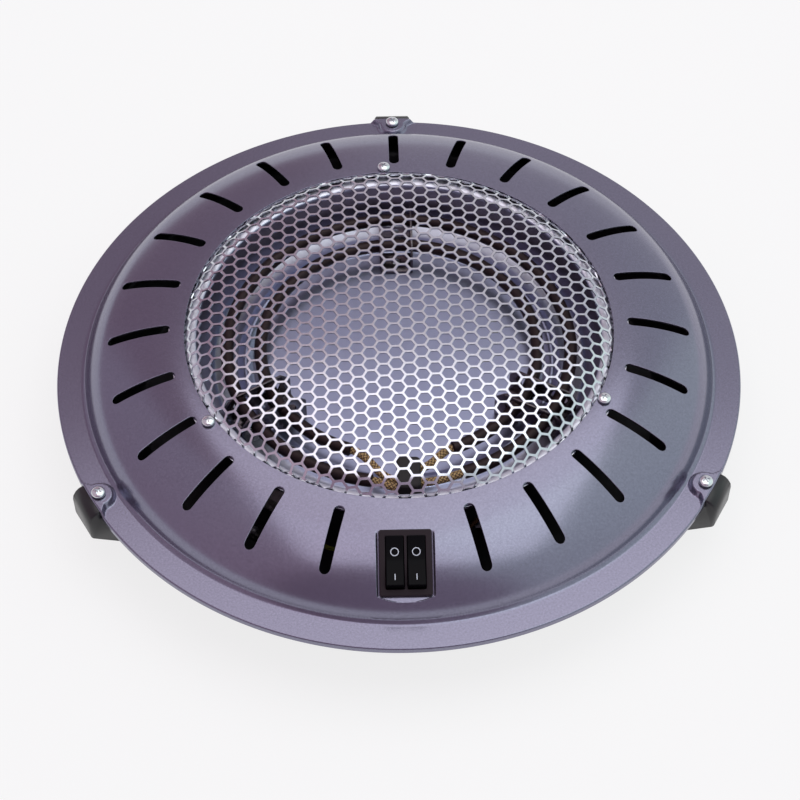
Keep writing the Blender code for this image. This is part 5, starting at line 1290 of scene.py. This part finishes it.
class BRAZIER_OT_switch(PieceOperator):
    """Make the twin rocker switch with its generic on and off marks."""
    bl_idname = "brazier.switch"
    bl_label = "Twin switch"

    def bezel(self, seat):
        w = sizes("switch")
        sheet = plate(BEZEL_GAP + w.bezel_rise, w.bezel_rise)
        outline = rounded_box(w.bezel_width / 2, w.bezel_length / 2, w.bezel_corner)
        sheet.outline(outline, BEZEL_EDGE, outer=True, foot=np.full(len(outline), BEZEL_GAP))
        for side in (-1, 1):
            middle = side * (w.well_width + w.divider) / 2
            well = rounded_box(w.well_width / 2, w.well_length / 2, BEZEL_EDGE, x=middle)
            sheet.outline(well, BEZEL_EDGE / 2)
        shown_by("switch_bezel", sheet.mesh(), "bezel_moulding", ["switch_housing"], place=seat)
        outline = rounded_box(w.bezel_width / 2 - 0.0017, w.bezel_length / 2 - 0.0018, 0.0008)
        case = prism(outline, BEZEL_GAP - CASE_DEPTH, BEZEL_GAP + 0.0005)
        top = max(case.faces, key=lambda face: face.calc_center_median().z)
        bmesh.ops.delete(case, geom=[top], context="FACES_ONLY")
        thicken(shown_by("switch_case", finished(case), "bezel_moulding", place=seat), CASE_WALL)

    def rocker(self, name, side, seat):
        w = sizes("switch")
        lean = tan(w.swing / 2)
        end = w.well_length / 2 - 0.0004

        def level(along):
            return w.rise + (abs(along) / end) ** TOP_CURVE * end * lean

        outline = [(along, level(along)) for along in np.linspace(end, -end, 25)]
        outline += [(-end * 0.985, -0.0026), (-0.003, -0.0046),
                    (0.003, -0.0046), (end * 0.985, -0.0026)]
        half_width = w.well_width / 2 - 0.0003
        pivot = Matrix.Translation((side * (w.well_width + w.divider) / 2, 0,
                                    BEZEL_GAP + w.bezel_rise - w.pivot_depth))
        place = seat @ pivot @ Matrix.Rotation(-w.swing / 2, 4, "X")
        cap = finished(prism(outline, half_width, -half_width, upright=True))
        round_edges(shown_by(name + "_cap", cap, "rocker_moulding", [name], name,
                             place @ Matrix.Rotation(pi / 2, 4, "Z")), 0.0004)
        off, on = plate(MARK_THICK, MARK_THICK * 2), plate(MARK_THICK, MARK_THICK * 2)
        half, line = w.mark / 2, w.mark_line
        off.outline(ring(half, 40), MARK_THICK / 2, outer=True)
        off.outline(ring(half - line, 40), MARK_THICK / 2)
        on.outline(rounded_box(line / 2, half * 0.8, line / 4), MARK_THICK / 2, outer=True)
        for label, along, mark in (("off", end * 0.37, off), ("on", -end * 0.65, on)):
            tilt = atan(TOP_CURVE * (abs(along) / end) ** (TOP_CURVE - 1) * lean)
            spot = (place @ Matrix.Translation((0, along, level(along)))
                    @ Matrix.Rotation(copysign(tilt, along), 4, "X"))
            shown_by(f"{name}_mark_{label}", mark.mesh(), "mark_white", body=name, place=spot)

    def execute(self, context):
        seat = AXIS @ switch_frame()
        self.bezel(seat)
        self.rocker("rocker_left", -1, seat)
        self.rocker("rocker_right", 1, seat)
        return {"FINISHED"}


class BRAZIER_OT_fittings(PieceOperator):
    """Finish the fittings and wires in the space under the reflector."""
    bl_idname = "brazier.fittings"
    bl_label = "Inner fittings"

    def execute(self, context):
        softened(["grille_nut_" + side for side in FOOT_ANGLES], "zinc_plating", 0.0002)
        for side in ("left", "right"):
            softened(["clamp_screw_" + side, "cutout_screw_" + side], "zinc_plating")
            softened([f"switch_blade_{side}_low", f"switch_blade_{side}_high"], "plain_brass")
        softened(["earth_screw"], "plain_brass")
        softened(["terminal_block"], "white_nylon", 0.0004)
        softened(["wire_feed", "wire_switch", "wire_outer", "wire_inner"], "brown_wire")
        softened(["wire_neutral"], "blue_wire")
        softened(["wire_earth"], "earth_wire")
        return {"FINISHED"}


FLOOR_REACH = 4.0
HORIZON = (0.93, 0.93, 0.95)
WALLS_START, WALLS_FULL = 0.05, 0.11        # heights over which walls take the horizon's place
WALLS = ((-180, (0.53, 0.41, 0.49)), (-138, (0.55, 0.40, 0.49)), (-124, (0.30, 0.20, 0.27)),
         (-100, (0.32, 0.23, 0.31)), (-62, (0.38, 0.31, 0.39)), (-48, (0.73, 0.79, 0.81)),
         (0, (0.82, 0.94, 0.93)), (38, (0.87, 0.99, 0.95)), (46, (0.60, 0.63, 0.67)),
         (88, (0.66, 0.60, 0.64)), (98, (0.40, 0.29, 0.35)), (134, (0.38, 0.25, 0.32)),
         (141, (0.54, 0.45, 0.53)), (180, (0.53, 0.41, 0.49)))      # colour by heading in degrees


class BRAZIER_OT_stage(PieceOperator):
    """Set the white floor, the soft studio light and the camera."""
    bl_idname = "brazier.stage"
    bl_label = "Stage"

    camera_turn: turn("Camera turn", -1.31, "Turn of the camera about the axis")
    elevation: turn("Camera elevation", 51.35, "Height of the camera above the horizon")
    distance: length("Camera distance", 1.05318,
                     "From the camera to the rim's plane along its view")
    aim_across: length("Aim across", 0.00058, "Sideways place of the camera")
    aim_up: length("Aim up", -0.0225, "Upward place of the camera in its picture plane")
    lens: FloatProperty(name="Lens", default=89.55, description="Focal length in millimetres")

    def camera(self):
        data = bpy.data.cameras.new("camera")
        data.lens, data.sensor_width = self.lens, 36
        data.clip_start, data.clip_end = 0.05, 50
        tilt = Matrix.Rotation(pi / 2 - self.elevation, 4, "X")
        look = Matrix.Rotation(self.camera_turn, 4, "Z") @ tilt
        rim = AXIS @ Matrix.Translation((0, 0, rim_level()))
        back = Matrix.Translation((self.aim_across, self.aim_up, self.distance))
        bpy.context.scene.camera = linked("camera", data, rim @ look @ back)

    def softbox(self, place, size_x, size_y, radiance):
        """Soft light that looks straight down."""
        data = bpy.data.lights.new("overhead softbox", "AREA")
        data.shape = "RECTANGLE"
        data.size, data.size_y = size_x, size_y
        data.energy = radiance * pi * size_x * size_y
        linked("overhead softbox", data, Matrix.Translation(place))

    def walls(self):
        """Studio walls: pale at the horizon, and dusky above it on the left and in front."""
        world = bpy.data.worlds.new("studio")
        bpy.context.scene.world = world
        world.use_nodes = True
        n = Nodes(world.node_tree)
        way = n.add("SeparateXYZ", {"Vector": n.spot("Generated")}).outputs
        heading = n.math("ADD", n.math("DIVIDE", n.math("ARCTAN2", way[1], way[0]), 2 * pi), 0.5)
        ramp = n.add("ValToRGB", {"Fac": heading})
        elements = ramp.color_ramp.elements
        while len(elements) < len(WALLS):
            elements.new(0.5)
        for element, (degrees, colour) in zip(elements, WALLS):
            element.position = degrees / 360 + 0.5
            element.color = (*colour, 1)
        rise = {"Value": way[2], "From Min": WALLS_START, "From Max": WALLS_FULL}
        above = n.add("MapRange", rise, interpolation_type="SMOOTHSTEP").outputs[0]
        n.put(world.node_tree.nodes["Background"].inputs["Color"],
              n.mix(above, (*HORIZON, 1), ramp.outputs[0]))

    def execute(self, context):
        context.scene.view_settings.view_transform = "Standard"
        self.camera()
        mesh = bpy.data.meshes.new("floor")
        outline = ring(FLOOR_REACH, 64)
        mesh.from_pydata([(x, y, 0) for x, y in outline], [], [tuple(range(len(outline)))])
        mesh.materials.append(floor_finish())
        linked("floor", mesh)
        self.softbox((0.10, 0.135, 1.07), 0.98, 1.10, 1.16)
        self.walls()
        return {"FINISHED"}


OPERATORS = (BRAZIER_OT_stage, BRAZIER_OT_cover, BRAZIER_OT_guard, BRAZIER_OT_reflector,
             BRAZIER_OT_elements, BRAZIER_OT_leads, BRAZIER_OT_pan, BRAZIER_OT_screws,
             BRAZIER_OT_feet, BRAZIER_OT_supports, BRAZIER_OT_switch, BRAZIER_OT_fittings)


class BRAZIER_PT_pieces(bpy.types.Panel):
    """Lists the operators that dress the brazier, and its sizes and colours."""
    bl_idname = "BRAZIER_PT_pieces"
    bl_label = "Electric brazier"
    bl_space_type = "VIEW_3D"
    bl_region_type = "UI"
    bl_category = "Brazier"

    def draw(self, context):
        for operator in OPERATORS:
            self.layout.operator(operator.bl_idname)
        for section in SECTIONS:
            group = getattr(context.scene, "brazier_" + section)
            box = self.layout.box()
            for key in group.__annotations__:
                box.prop(group, key)


def register():
    """Register the groups, the operators and the panel."""
    for section, group in SECTIONS.items():
        bpy.utils.register_class(group)
        setattr(bpy.types.Scene, "brazier_" + section, PointerProperty(type=group))
    for operator in (*OPERATORS, BRAZIER_PT_pieces):
        bpy.utils.register_class(operator)


def unregister():
    """Remove what register added."""
    for operator in reversed((*OPERATORS, BRAZIER_PT_pieces)):
        bpy.utils.unregister_class(operator)
    for section, group in SECTIONS.items():
        delattr(bpy.types.Scene, "brazier_" + section)
        bpy.utils.unregister_class(group)


def main():
    """Dress the brazier."""
    register()
    for operator in OPERATORS:
        getattr(bpy.ops.brazier, operator.bl_idname.split(".")[1])()


if __name__ == "__main__":
    main()
